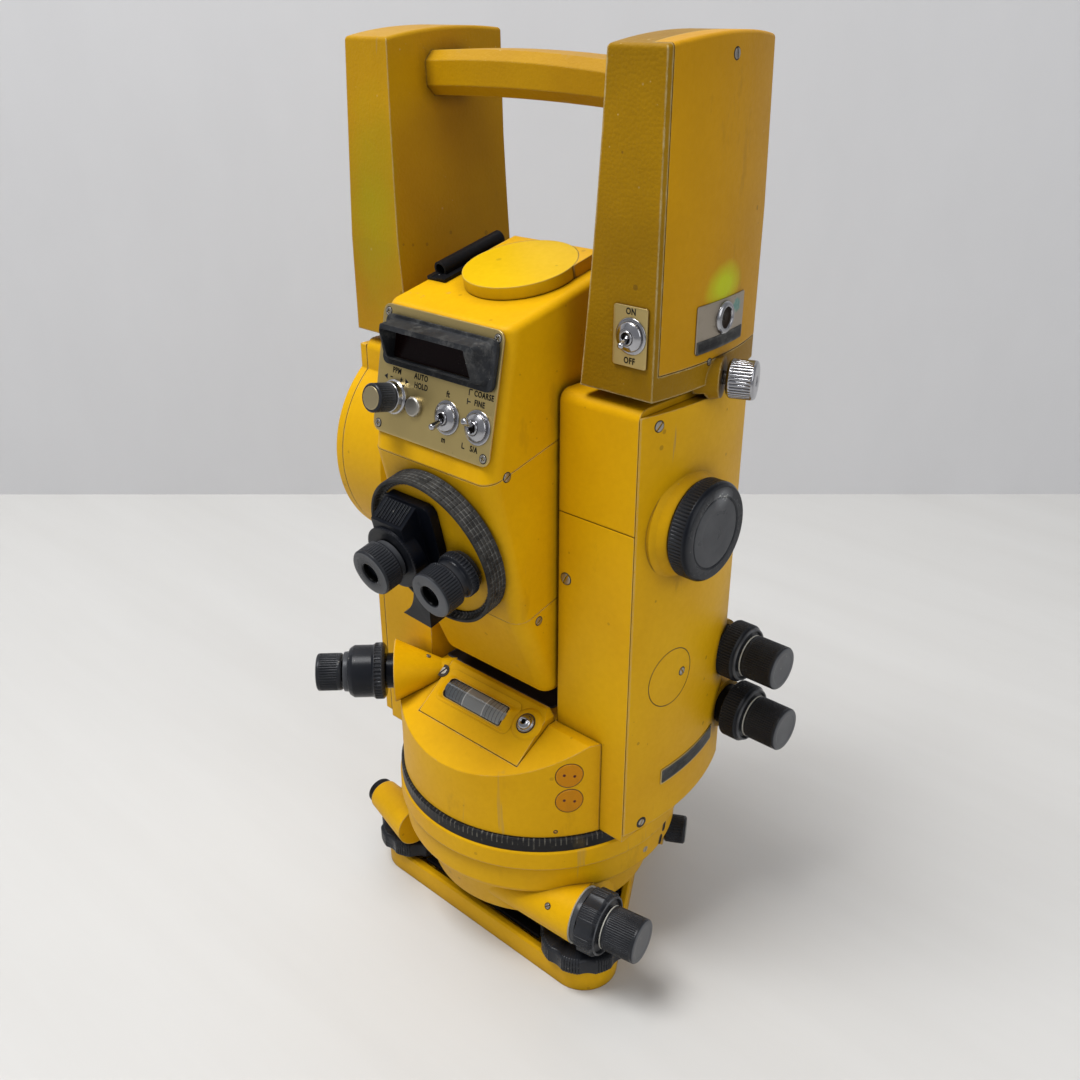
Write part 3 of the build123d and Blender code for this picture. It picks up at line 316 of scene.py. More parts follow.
class Surface:
    """Gathers grids of points and makes them one mesh piece."""

    def __init__(self, name: str) -> None:
        """Starts an empty piece.

        Args:
            name: the piece's name.
        """
        self.name = name
        self.points: list[Grid] = []
        self.quads: list[Grid] = []
        self.bare: list[Grid] = []
        self.total = 0

    def add(self, grid: Grid, bare: Grid | float = 0.0, ring: bool = False) -> "Surface":
        """Adds a grid of points joined by four-sided faces.

        Args:
            grid: array (rows, columns, 3) in metres.
            bare: how worn the finish is at each point, 0 to 1; below 0 is painted shade, near black.
            ring: whether the last column joins the first.

        Returns:
            The piece itself.
        """
        rows, columns = grid.shape[:2]
        index = np.arange(rows * columns).reshape(rows, columns) + self.total
        right = np.roll(index, -1, axis=1) if ring else index[:, 1:]
        left = index if ring else index[:, :-1]
        quads = np.stack([left[:-1], right[:-1], right[1:], left[1:]], axis=-1).reshape(-1, 4)
        self.points.append(grid.reshape(-1, 3))
        self.quads.append(quads)
        self.bare.append(np.broadcast_to(np.asarray(bare, float), (rows, columns)).reshape(-1))
        self.total += rows * columns
        return self

    def lathe(self, place: "Place | Bulge", profile: Grid, knurl: Knurl = Knurl(), segments: int = 96,
              bare: Callable[[Grid, Grid, Grid], Grid] | None = None) -> "Surface":
        """Adds a turned form: radius and height of the profile carried round the out direction.

        Each point is (r cos a, r sin a, t), where r is the profile's radius less the knurl's
        groove at angle a and station t.

        Args:
            place: frame whose out direction is the axis.
            profile: rows of radius, station and edge sharpness.
            knurl: the grip on its rim.
            segments: columns round the axis.
            bare: optional bareness from radius, angle and station, over the edges' own; below 0 is painted
                shade.

        Returns:
            The piece itself.
        """
        rows = profile
        if knurl.grip is not Grip.PLAIN:
            spans = 5 * knurl.rows if knurl.grip is Grip.PADS else 1
            marks = np.linspace(knurl.start, knurl.end, spans + 1)
            marks = np.concatenate([marks, [knurl.start + RUNOUT, knurl.end - RUNOUT]])
            rows = self._with_stations(profile, marks)
        angle = np.linspace(0.0, TURN, segments, endpoint=False)[None, :]
        radius, station, edge = (rows[:, k][:, None] for k in range(3))
        depth = knurl.groove(np.broadcast_to(angle, (len(rows), segments)),
                             np.broadcast_to(station, (len(rows), segments)))
        r = np.maximum(radius - np.where(radius > 0.6 * rows[:, 0].max(), depth, 0.0), 0.0)
        points = np.stack([r * np.cos(angle), r * np.sin(angle), np.broadcast_to(station, r.shape)], axis=-1)
        tone = np.broadcast_to(edge, r.shape) * 0.4
        if knurl.depth > 0:
            share = depth / knurl.depth if knurl.grip is Grip.PADS else 0.1 * (1.0 - depth / knurl.depth)
            tone = np.maximum(tone, share * ((station > knurl.start) & (station < knurl.end)))
        if bare is not None:
            given = bare(r, np.broadcast_to(angle, r.shape), np.broadcast_to(station, r.shape))
            # Values below 0 mark painted shade in recesses and are kept.
            tone = np.where(given < 0, given, np.maximum(tone, given))
        return self.add(place.carry(points), tone, ring=True)

    @staticmethod
    def _with_stations(profile: Grid, marks: Grid) -> Grid:
        """Puts extra rows into the outermost run of a profile.

        A row is added where a mark falls between the ends of a segment that lies on the rim, by
        linear interpolation along that segment.

        Args:
            profile: rows of radius, station and sharpness.
            marks: stations to add.

        Returns:
            The longer profile.
        """
        rows = [profile[0]]
        rim = profile[:, 0].max() - 1.3
        for a, b in zip(profile[:-1], profile[1:]):
            if min(a[0], b[0]) >= rim and abs(b[1] - a[1]) > 0.2:
                low, high = sorted((a[1], b[1]))
                inner = np.sort(marks[(marks > low + 0.02) & (marks < high - 0.02)])
                inner = inner if b[1] > a[1] else inner[::-1]
                for mark in inner:
                    rows.append(a + (b - a) * (mark - a[1]) / (b[1] - a[1]))
            rows.append(b)
        return np.array(rows)

    def loft(self, place: "Place | Bulge", loops: Sequence[Grid], tone: float = 0.0) -> "Surface":
        """Adds closed loops of points joined one to the next."""
        return self.add(place.carry(np.stack(loops)), tone, ring=True)

    def slab(self, place: "Place | Bulge", outline: Grid, profile: Grid, tone: float = 0.0) -> "Surface":
        """Adds a raised plate: an outline carried through pairs of inset and height.

        Each row is the outline drawn in towards its middle until its widest and highest points have
        come in by the inset, at that height. The last row shrinks to the middle, which closes the plate.

        Args:
            place: frame with out as the plate's normal.
            outline: closed loop (n, 2), anticlockwise.
            profile: rows of inset, height and edge sharpness.
            tone: bareness of the flat parts.

        Returns:
            The piece itself.
        """
        if isinstance(place, Bulge):
            outline, profile = self._finer(outline, profile)
        centre = (outline.max(0) + outline.min(0)) / 2
        reach = np.abs(outline - centre).max(0)
        inset, height, edge = (profile[:, k][:, None] for k in range(3))
        flat = centre + (outline - centre)[None] * (1.0 - inset[..., None] / reach)
        points = np.concatenate([flat, np.broadcast_to(height[..., None], (*flat.shape[:2], 1))], axis=-1)
        middle = np.broadcast_to(np.array([*centre, profile[-1, 1]]), (1, *points.shape[1:]))
        points = np.concatenate([points, middle], axis=0)
        bare = np.concatenate([np.maximum(edge * 0.8, tone), [[tone]]], axis=0)
        return self.add(place.carry(points), np.broadcast_to(bare, points.shape[:2]), ring=True)

    @staticmethod
    def _finer(outline: Grid, profile: Grid) -> tuple[Grid, Grid]:
        """More points for a plate that bends with a wall.

        The outline is sampled evenly by its length, by linear interpolation, and rows are added
        between the profile's last inset and the narrower half width.

        Args:
            outline: closed loop (n, 2).
            profile: rows of inset, height and edge sharpness.

        Returns:
            The finer outline and profile.
        """
        closed = np.vstack([outline, outline[:1]])
        length = np.concatenate([[0.0], np.cumsum(np.linalg.norm(np.diff(closed, axis=0), axis=1))])
        even = np.linspace(0.0, length[-1], max(48, int(length[-1] / 0.8)), endpoint=False)
        even = np.unique(np.concatenate([even, length[:-1]]))
        loop = np.stack([np.interp(even, length, closed[:, k]) for k in (0, 1)], axis=1)
        half = float((outline.max(0) - outline.min(0)).min() / 2)
        inner = np.linspace(profile[-1, 0], 0.98 * half, 5)[1:]
        rows = np.column_stack([inner, np.full(4, profile[-1, 1]), np.zeros(4)])
        return loop, np.vstack([profile, rows])

    def build(self, body: str, slot: str, finish: "Finish", replaces: Sequence[str] = (),
              smooth: float = 32.0) -> Object:
        """Makes the mesh, closes its seams and poles, and sets it on its body.

        Args:
            body: CAD body that the piece moves with.
            slot: material slot of the record; not used.
            finish: its finish.
            replaces: CAD nodes that the piece stands for.
            smooth: degrees up to which neighbouring faces shade as one.

        Returns:
            The finished object.
        """
        mesh = bpy.data.meshes.new(self.name)
        points, quads = np.concatenate(self.points), np.concatenate(self.quads)
        mesh.from_pydata(points.tolist(), [], quads.tolist())
        attribute = mesh.attributes.new("bare", "FLOAT", "POINT")
        attribute.data.foreach_set("value", np.concatenate(self.bare).astype(np.float32))
        work = bmesh.new()
        work.from_mesh(mesh)
        bmesh.ops.remove_doubles(work, verts=work.verts, dist=SEAL)
        bmesh.ops.dissolve_degenerate(work, edges=work.edges, dist=WELD)
        bmesh.ops.recalc_face_normals(work, faces=work.faces)
        work.to_mesh(mesh)
        work.free()
        mesh.shade_smooth()
        mesh.set_sharp_from_angle(angle=math.radians(smooth))
        mesh.materials.append(finish.material)
        return settle(linked(self.name, mesh), body, replaces)


def linked(name: str, data: bpy.types.ID) -> Object:
    """Puts a new object in the scene.

    Args:
        name: the object's name.
        data: its mesh, curve, lamp or camera.

    Returns:
        The object.
    """
    made = bpy.data.objects.new(name, data)
    bpy.context.scene.collection.objects.link(made)
    return made


def settle(piece: Object, body: str, replaces: Sequence[str] = ()) -> Object:
    """Sets a finished piece on its body and hides the nodes it stands for.

    Args:
        piece: the finished object.
        body: CAD body it moves with.
        replaces: CAD nodes it stands for.

    Returns:
        The same object.
    """
    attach(piece, body)
    if replaces:
        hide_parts(*replaces)
    log.info("piece %s on %s", piece.name, body)
    return piece


def round_rect(width: float, height: float, corner: float, steps: int = 7) -> Grid:
    """Anticlockwise loop of a rectangle with round corners about the middle.

    Each corner is a quarter circle of that radius, sampled evenly in angle.

    Args:
        width: full width.
        height: full height.
        corner: corner radius.
        steps: samples on each corner.

    Returns:
        Array (4 * steps, 2).
    """
    quarter = np.linspace(0.0, math.pi / 2, steps)
    loops = []
    for turn, (sx, sy) in enumerate(((1, 1), (-1, 1), (-1, -1), (1, -1))):
        angle = quarter + turn * math.pi / 2
        centre = np.array([sx * (width / 2 - corner), sy * (height / 2 - corner)])
        loops.append(centre + corner * np.stack([np.cos(angle), np.sin(angle)], axis=1))
    return np.vstack(loops)


def polygon(radius: float, sides: int, spin: float = 0.0) -> Grid:
    """Anticlockwise loop of a regular polygon, each side sampled four times.

    Args:
        radius: distance of the corners.
        sides: number of sides.
        spin: turn in degrees.

    Returns:
        Array (4 * sides, 2).
    """
    angle = np.radians(spin) + np.linspace(0.0, TURN, sides, endpoint=False)
    corner = radius * np.stack([np.cos(angle), np.sin(angle)], axis=1)
    share = np.array([0.03, 0.34, 0.66, 0.97])[None, :, None]
    return (corner[:, None] * (1 - share) + np.roll(corner, -1, axis=0)[:, None] * share).reshape(-1, 2)


# ---- Shader expressions ----


class Wire:
    """A socket of a material that Python arithmetic extends with Math nodes."""

    def __init__(self, shader: "Shader", socket: bpy.types.NodeSocket) -> None:
        """Wraps one output socket."""
        self.shader = shader
        self.socket = socket

    def __add__(self, other: "Value") -> "Wire":
        """Sum."""
        return self.shader.math("ADD", self, other)

    def __radd__(self, other: "Value") -> "Wire":
        """Sum, reflected."""
        return self.shader.math("ADD", other, self)

    def __sub__(self, other: "Value") -> "Wire":
        """Difference."""
        return self.shader.math("SUBTRACT", self, other)

    def __rsub__(self, other: "Value") -> "Wire":
        """Difference, reflected, so that 1 - mask works."""
        return self.shader.math("SUBTRACT", other, self)

    def __mul__(self, other: "Value") -> "Wire":
        """Product."""
        return self.shader.math("MULTIPLY", self, other)

    def __rmul__(self, other: "Value") -> "Wire":
        """Product, reflected."""
        return self.shader.math("MULTIPLY", other, self)

    def __truediv__(self, other: "Value") -> "Wire":
        """Quotient."""
        return self.shader.math("DIVIDE", self, other)

    def __pow__(self, other: "Value") -> "Wire":
        """Power."""
        return self.shader.math("POWER", self, other)

    def sibling(self, name: str) -> "Wire":
        """Another output of the same node."""
        return Wire(self.shader, self.socket.node.outputs[name])

    def above(self, edge: "Value", soft: float = 0.02) -> "Wire":
        """0 below the edge and 1 above it, with a soft step between."""
        return self.shader.math("DIVIDE", self - edge, soft, clamp=True)


Value = Wire | float | int | Sequence[float]


class Shader:
    """One material, written as expressions."""

    def __init__(self, name: str) -> None:
        """Starts an empty material.

        Args:
            name: the material's name.
        """
        self.material = bpy.data.materials.new(name)
        self.material.use_nodes = True
        self.tree = self.material.node_tree
        self.tree.nodes.clear()
        self._coords: Wire | None = None

    def node(self, kind: str, settings: dict[str, Any] | None = None,
             inputs: dict[str | int, Value] | None = None, out: str | int = 0) -> Wire:
        """Adds any node.

        Args:
            kind: the node's type name.
            settings: properties, set first.
            inputs: values or links by socket name or number.
            out: the output that the result wraps.

        Returns:
            That output.
        """
        made = self.tree.nodes.new(kind)
        for key, value in (settings or {}).items():
            setattr(made, key, value)
        for key, value in (inputs or {}).items():
            if isinstance(value, Wire):
                self.tree.links.new(value.socket, made.inputs[key])
            else:
                made.inputs[key].default_value = value
        return Wire(self, made.outputs[out]) if len(made.outputs) else Wire(self, None)

    def math(self, operation: str, a: Value, b: Value | None = None, clamp: bool = False) -> Wire:
        """A Math node on one or two values."""
        inputs = {0: a} if b is None else {0: a, 1: b}
        return self.node("ShaderNodeMath", {"operation": operation, "use_clamp": clamp}, inputs)

    def blend(self, share: Value, below: Value, above: Value) -> Wire:
        """A colour Mix.

        Args:
            share: 0 gives the first colour and 1 the second.
            below: first colour.
            above: second colour.

        Returns:
            The mixed colour.
        """
        return self.node("ShaderNodeMix", {"data_type": "RGBA", "clamp_factor": True},
                         {0: share, 6: self._rgba(below), 7: self._rgba(above)}, out=2)

    @staticmethod
    def _rgba(value: Value) -> Value:
        """Three numbers as a colour with alpha; anything else is left alone."""
        return (*value, 1.0) if isinstance(value, (tuple, list)) and len(value) == 3 else value

    def dot(self, a: Value, b: Value) -> Wire:
        """Dot product of two vectors."""
        return self.node("ShaderNodeVectorMath", {"operation": "DOT_PRODUCT"}, {0: a, 1: b}, out="Value")

    @property
    def coords(self) -> Wire:
        """Object coordinates, one node for the whole material.

        Returns:
            The coordinates, in metres.
        """
        if self._coords is None:
            self._coords = self.node("ShaderNodeTexCoord", out="Object")
        return self._coords

    def noise(self, scale: float, detail: float = 3.0, rough: float = 0.5, stretch: Point3 | None = None,
              shift: float = 0.0) -> Wire:
        """Noise from 0 to 1 on the object's coordinates.

        Args:
            scale: features a metre.
            detail: octaves.
            rough: weight of the finer octaves.
            stretch: optional scale of each coordinate.
            shift: distance that the pattern is moved.

        Returns:
            The noise's strength.
        """
        place = self.coords
        if stretch is not None or shift:
            place = self.node("ShaderNodeMapping", None, {
                "Vector": place, "Scale": stretch or (1, 1, 1), "Location": (shift, shift, shift)})
        return self.node("ShaderNodeTexNoise", None,
                         {"Vector": place, "Scale": scale, "Detail": detail, "Roughness": rough})

    def cells(self, scale: float, jitter: float = 1.0) -> Wire:
        """Distance to the nearest of scattered points.

        Args:
            scale: points a metre.
            jitter: how irregular their places are, 0 to 1.

        Returns:
            The distance, in cells.
        """
        return self.node("ShaderNodeTexVoronoi", {"feature": "F1"},
                         {"Vector": self.coords, "Scale": scale, "Randomness": jitter}, out="Distance")

    def specks(self, scale: float, size: float) -> Wire:
        """Scattered round specks: 1 inside a cell's core whose radius depends on the cell.

        Args:
            scale: cells a metre.
            size: the largest core, in cells.

        Returns:
            The mask.
        """
        distance = self.cells(scale)
        colour = distance.sibling("Color")
        reach = (self.dot(colour, (1.0, 0.0, 0.0)) ** 6.0) * size
        return self.math("LESS_THAN", distance, reach)

    def attribute(self, name: str) -> Wire:
        """A number stored on the mesh."""
        return self.node("ShaderNodeAttribute", {"attribute_name": name}, out="Fac")

    def rounded_normal(self, radius: float) -> Wire:
        """Normal of the surface with its edges rounded to that radius, in metres."""
        return self.node("ShaderNodeBevel", {"samples": 6}, {"Radius": radius})

    def edges(self, radius: float) -> Wire:
        """1 on outer and inner edges, 0 on flat ground: one minus the agreement of the two normals."""
        flat = self.node("ShaderNodeNewGeometry", out="Normal")
        return 1.0 - self.dot(self.rounded_normal(radius), flat)

    def bump(self, height: Wire, distance: float, strength: float = 1.0, normal: Wire | None = None) -> Wire:
        """A Bump node.

        Args:
            height: the relief, 0 to 1.
            distance: its depth, metres.
            strength: its share.
            normal: optional normal that it starts from.

        Returns:
            The bumped normal.
        """
        inputs: dict[str | int, Value] = {"Height": height, "Distance": distance, "Strength": strength}
        if normal is not None:
            inputs["Normal"] = normal
        return self.node("ShaderNodeBump", None, inputs)

    def finish(self, **sockets: Value) -> Material:
        """Ends the material with a Principled shader.

        Args:
            sockets: its inputs, with underscores for spaces.

        Returns:
            The material.
        """
        inputs = {key.replace("_", " "): self._rgba(value) for key, value in sockets.items()}
        surface = self.node("ShaderNodeBsdfPrincipled", None, inputs)
        self.node("ShaderNodeOutputMaterial", None, {"Surface": surface})
        return self.material


# ---- Finishes ----

DUST: Colour = (0.22, 0.215, 0.20)
# Dark brown of the painted shade in corners and hollows.
HOLLOW_SHADE: Colour = (0.07, 0.034, 0.006)
SPOTS: Colour = (0.10, 0.05, 0.01)
# Near-black brown of the seams and of the painted shade in inner creases.
SEAM_AND_CREASE_SHADE: Colour = (0.045, 0.020, 0.003)
MOTTLE: Colour = (0.24, 0.10, 0.0)
SMEAR: Colour = (0.20, 0.10, 0.01)
SCRATCH: Colour = (0.30, 0.22, 0.10)
TARRY: Colour = (0.05, 0.045, 0.04)
VERDIGRIS: tuple[Colour, Colour] = ((0.03, 0.22, 0.20), (0.45, 0.60, 0.52))
CORROSION_REACH = 7.0 * MM


@dataclass(frozen=True)
class Stain:
    """A soft patch of another colour about a point of the instrument, in millimetres."""

    centre: Point3
    reach: Point3
    colour: Colour
    strength: float = 0.8


@dataclass(frozen=True)
class Paint:
    """Golden yellow paint on castings, with painted shade in hollows, soiling, scuffs and chipped edges."""

    name: str
    colour: Colour = (0.74, 0.41, 0.0012)
    shade: Colour = (0.65, 0.34, 0.0012)
    chips: float = 0.08
    chip_colour: Colour = (0.62, 0.50, 0.26)
    # Strength of the painted shade in hollows and of the soiling specks and smears.
    grime_and_shade: float = 0.5
    wrinkle: float = 0.35
    lumps: float = 0.0
    gloss: float = 0.42
    edge: float = 0.0009
    scratches: float = 0.3
    stains: tuple[Stain, ...] = ()

    def make(self) -> Material:
        """Builds the material.

        A mottled tone takes flakes, stains, painted shade in corners and hollows, specks, smears,
        scratches, worn outer edges, and dark seams with painted shade in inner creases, in that order;
        lumps of thick paint and a fine wrinkle make the relief.

        Returns:
            The material.
        """
        s = Shader(self.name)
        broad = s.noise(16.0, 4.0)
        fine = s.noise(420.0, 2.0)
        lumps = s.cells(760.0, 0.9)
        colour = s.blend(broad.above(0.35, 0.35), self.shade, self.colour)
        colour = s.blend(fine * 0.3, colour, s.blend(0.5, colour, MOTTLE))
        if self.lumps:
            flakes = s.specks(330.0, 0.20) * s.noise(38.0, 4.0, 0.6, shift=2.3).above(0.52, 0.08)
            colour = s.blend(flakes * (0.6 * self.lumps), colour, self.chip_colour)
        for stain in self.stains:
            colour = s.blend(self._patch(s, stain), colour, stain.colour)
        # Painted shade: ambient occlusion darkens corners, creases and the hollows under parts towards dark
        # brown, broken by noise.
        hollow = 1.0 - s.node("ShaderNodeAmbientOcclusion", {"samples": 6}, {"Distance": 0.006}, out="AO")
        painted_hollow_shade = s.math("MULTIPLY", hollow * (s.noise(140.0, 4.0) + 0.3), self.grime_and_shade * 1.7, clamp=True)
        colour = s.blend(painted_hollow_shade, colour, HOLLOW_SHADE)
        colour = s.blend(s.specks(150.0, 0.16) * (0.55 * self.grime_and_shade), colour, SPOTS)
        smear = s.noise(60.0, 5.0, 0.7, stretch=(1.0, 1.0, 0.35), shift=0.4).above(0.62, 0.08)
        colour = s.blend(smear * 0.3 * self.grime_and_shade, colour, SMEAR)
        scratch = s.noise(150.0, 3.0, 0.6, stretch=(1.0, 1.0, 0.06), shift=0.9).above(0.69, 0.02)
        scratch = scratch * s.noise(24.0, 2.0, shift=1.7).above(0.5, 0.1) * self.scratches
        colour = s.blend(scratch, colour, SCRATCH)
        edge = s.edges(0.0016)
        inner = s.math("MULTIPLY", hollow, 2.4, clamp=True)
        worn = (edge * 2.2 + s.noise(210.0, 4.0, 0.65)).above(1.28 - 0.62 * self.chips, 0.03)
        worn = worn * edge.above(0.02, 0.05) * (1.0 - inner)
        colour = s.blend(worn, colour, self.chip_colour)
        # Dark lines on inner edges found by occlusion: real seams in part, painted shade in every inner
        # crease in part.
        colour = s.blend(edge.above(0.10, 0.2) * inner * 0.8, colour, SEAM_AND_CREASE_SHADE)
        rough = self.gloss + 0.12 * fine + 0.22 * worn
        relief = s.noise(950.0, 2.0, 0.6) * self.wrinkle + (1.0 - worn) * 0.3 - lumps * (0.9 * self.lumps)
        normal = s.bump(relief, 0.00016, 0.7, s.rounded_normal(self.edge))
        return s.finish(Base_Color=colour, Roughness=rough, Normal=normal, Specular_IOR_Level=0.22,
                        Specular_Tint=(1.0, 0.8, 0.36))

    @staticmethod
    def _patch(s: Shader, stain: Stain) -> Wire:
        """Share of a stain: fades with the scaled distance from its centre, broken by noise.

        Args:
            s: the material's expressions.
            stain: where it lies and how strong it is.

        Returns:
            The share, 0 to 1.
        """
        scale = tuple(1.0 / (r * MM) for r in stain.reach)
        shift = tuple(-c * MM * k for c, k in zip(stain.centre, scale))
        local = s.node("ShaderNodeMapping", None, {"Vector": s.coords, "Scale": scale, "Location": shift})
        distance = s.node("ShaderNodeVectorMath", {"operation": "LENGTH"}, {0: local}, out="Value")
        near = s.math("SUBTRACT", 1.25, distance + 0.5 * s.noise(70.0, 5.0, 0.6), clamp=True)
        return s.math("MULTIPLY", near, 1.8 * stain.strength, clamp=True)


@dataclass(frozen=True)
class BlackMetal:
    """Black anodised or enamelled metal that wears to grey where hands touch it."""

    name: str
    colour: Colour = (0.004, 0.005, 0.008)
    bare: Colour = (0.16, 0.165, 0.175)
    gloss: float = 0.17
    wear: float = 1.0
    edge: float = 0.00025

    def make(self) -> Material:
        """Builds the material: blue-black, grey at worn points, white chips, dust, turning marks, and near
        black as painted shade where the mesh marks a recess.

        Returns:
            The material.
        """
        s = Shader(self.name)
        patch = s.noise(90.0, 5.0, 0.6)
        bare = s.attribute("bare")
        worn = s.math("MULTIPLY", bare, (patch + 0.45) * self.wear, clamp=True)
        edge = (s.edges(0.00035) * 1.5 + 0.6 * s.noise(300.0, 3.0)).above(0.74, 0.2)
        mark = s.math("MAXIMUM", worn, edge * (0.09 * self.wear))
        colour = s.blend(mark, self.colour, self.bare)
        dust = s.noise(40.0, 6.0, 0.7, shift=0.2).above(0.55, 0.3) * 0.03
        colour = s.blend(dust, colour, DUST)
        colour = s.blend(s.specks(260.0, 0.12) * 0.3, colour, (0.4, 0.38, 0.34))
        chip = bare.above(0.7, 0.5) * s.noise(420.0, 3.0, 0.6).above(0.56, 0.03) * self.wear
        colour = s.blend(chip, colour, (0.55, 0.56, 0.52))
        # Painted shade: where the mesh's tone is below 0, in recesses, holes and throats, the colour goes
        # near black.
        colour = s.blend(s.math("MULTIPLY", bare, -1.0, clamp=True), colour, (0.002, 0.002, 0.002))
        rough = self.gloss + 0.14 * patch + 0.14 * mark
        normal = s.bump(s.noise(1300.0, 2.0), 0.00003, 0.35, s.rounded_normal(self.edge))
        return s.finish(Base_Color=colour, Roughness=rough, Metallic=mark * 0.3, Normal=normal,
                        Specular_IOR_Level=0.13)


@dataclass(frozen=True)
class BareMetal:
    """Steel, plated metal, brass and the silver plates."""

    name: str
    colour: Colour = (0.62, 0.62, 0.62)
    tarnish: Colour = (0.30, 0.28, 0.25)
    gloss: float = 0.18
    grain: Point3 | None = None
    spots: float = 0.3
    metallic: float = 1.0
    corrosion: Point3 | None = None

    def _spread(self, s: Shader) -> Wire:
        """Nearness to the corroded spot: one less the distance over the spot's reach.

        Args:
            s: the material's expressions.

        Returns:
            The nearness, 1 at the spot and 0 beyond its reach.
        """
        away = s.node("ShaderNodeVectorMath", {"operation": "DISTANCE"},
                      {0: s.coords, 1: tuple(c * MM for c in self.corrosion)}, out="Value")
        return s.math("SUBTRACT", 1.0, away / CORROSION_REACH, clamp=True)

    def make(self) -> Material:
        """Builds the material: brushed grain, tarnish in patches and corners, spots, corrosion, and near
        black as painted shade where the mesh marks a recess.

        Returns:
            The material.
        """
        s = Shader(self.name)
        patch = s.noise(120.0, 5.0, 0.65)
        grain = s.noise(1500.0, 2.0, 0.6, stretch=self.grain or (1.0, 1.0, 1.0))
        colour = s.blend(patch.above(0.55, 0.3) * self.spots, self.colour, self.tarnish)
        hollow = 1.0 - s.node("ShaderNodeAmbientOcclusion", {"samples": 4}, {"Distance": 0.002}, out="AO")
        colour = s.blend(hollow * 0.6, colour, TARRY)
        colour = s.blend(s.specks(300.0, 0.14) * self.spots, colour, self.tarnish)
        if self.corrosion:
            bloom = (s.noise(160.0, 5.0, 0.7) + self._spread(s)).above(1.05, 0.12)
            colour = s.blend(bloom, colour, s.blend(s.noise(700.0, 2.0), *VERDIGRIS))
        # Painted shade: where the mesh's tone is below 0, in a screw's recess or a nut's throat, the colour
        # goes near black.
        sunk = s.math("MULTIPLY", s.attribute("bare"), -1.0, clamp=True)
        colour = s.blend(sunk, colour, (0.01, 0.009, 0.008))
        rough = self.gloss + 0.10 * patch + 0.08 * grain
        normal = s.bump(grain, 0.00002, 0.35, s.rounded_normal(0.00025))
        return s.finish(Base_Color=colour, Roughness=rough, Metallic=self.metallic, Normal=normal)


@dataclass(frozen=True)
class Moulded:
    """Moulded plastic, rubber, lettering ink and coloured plugs."""

    name: str
    colour: Colour = (0.012, 0.012, 0.013)
    second: Colour = (0.03, 0.03, 0.032)
    gloss: float = 0.3
    grain: float = 0.3
    dust: float = 0.2
    coat: float = 0.0
    settled: float = 0.5

    def make(self) -> Material:
        """Builds the material: two close tones, dust that lies in patches, moulded grain.

        Returns:
            The material.
        """
        s = Shader(self.name)
        patch = s.noise(60.0, 6.0, 0.65)
        colour = s.blend(patch.above(0.4, 0.3), self.colour, self.second)
        dust = (s.noise(150.0, 6.0, 0.75, shift=0.7)).above(0.50, 0.25) * self.dust
        dust = s.math("ADD", dust * 0.6,
                      s.attribute("bare") * s.noise(260.0, 4.0).above(0.25, 0.35) * self.settled, clamp=True)
        colour = s.blend(dust, colour, DUST)
        colour = s.blend(s.specks(420.0, 0.13) * self.dust, colour, (0.5, 0.49, 0.46))
        rough = self.gloss + 0.18 * patch + 0.2 * dust
        normal = s.bump(s.noise(1600.0, 2.0), 0.00004, self.grain, s.rounded_normal(0.0003))
        return s.finish(Base_Color=colour, Roughness=rough, Normal=normal, Coat_Weight=self.coat,
                        Coat_Roughness=0.08, Specular_IOR_Level=0.15)


@dataclass(frozen=True)
class DialRing:
    """Black ring with fine white divisions all round its wall."""

    name: str
    count: int = 180

    def make(self) -> Material:
        """Builds the material: a square wave of the angle about the vertical axis, scratched.

        Returns:
            The material.
        """
        s = Shader(self.name)
        across = s.node("ShaderNodeSeparateXYZ", None, {0: s.coords}, out="X")
        height = across.sibling("Z")
        angle = s.math("ARCTAN2", across, across.sibling("Y"))
        turn = s.math("FRACT", angle * (self.count / TURN))
        tens = s.math("FRACT", angle * (self.count / 10.0 / TURN))
        tick = s.math("LESS_THAN", turn, 0.22) * s.math("GREATER_THAN", height, 0.0738)
        long_tick = s.math("LESS_THAN", tens, 0.03) * s.math("GREATER_THAN", height, 0.0718)
        worn = s.noise(260.0, 4.0, 0.7)
        mark = s.math("MAXIMUM", tick, long_tick) * worn.above(0.40, 0.25)
        colour = s.blend(mark * 0.3, (0.006, 0.006, 0.007), (0.40, 0.37, 0.30))
        colour = s.blend(s.noise(90.0, 5.0).above(0.6, 0.2) * 0.3, colour, (0.2, 0.14, 0.05))
        normal = s.bump(worn, 0.00003, 0.3, s.rounded_normal(0.0003))
        return s.finish(Base_Color=colour, Roughness=0.3 + 0.2 * worn, Normal=normal, Specular_IOR_Level=0.2)


@dataclass(frozen=True)
class Glass:
    """Dark coated optical glass."""

    name: str
    colour: Colour = (0.02, 0.035, 0.05)
    gloss: float = 0.04
    coat: float = 1.0

    def make(self) -> Material:
        """Builds the material: deep tint that shifts a little, a clear coat, faint smears.

        Returns:
            The material.
        """
        s = Shader(self.name)
        smear = s.noise(70.0, 4.0, 0.6)
        colour = s.blend(smear, self.colour, tuple(1.6 * c for c in self.colour))
        return s.finish(Base_Color=colour, Roughness=self.gloss + 0.06 * smear, Coat_Weight=self.coat,
                        Coat_Roughness=0.02, Specular_IOR_Level=0.1 + 0.6 * self.coat)


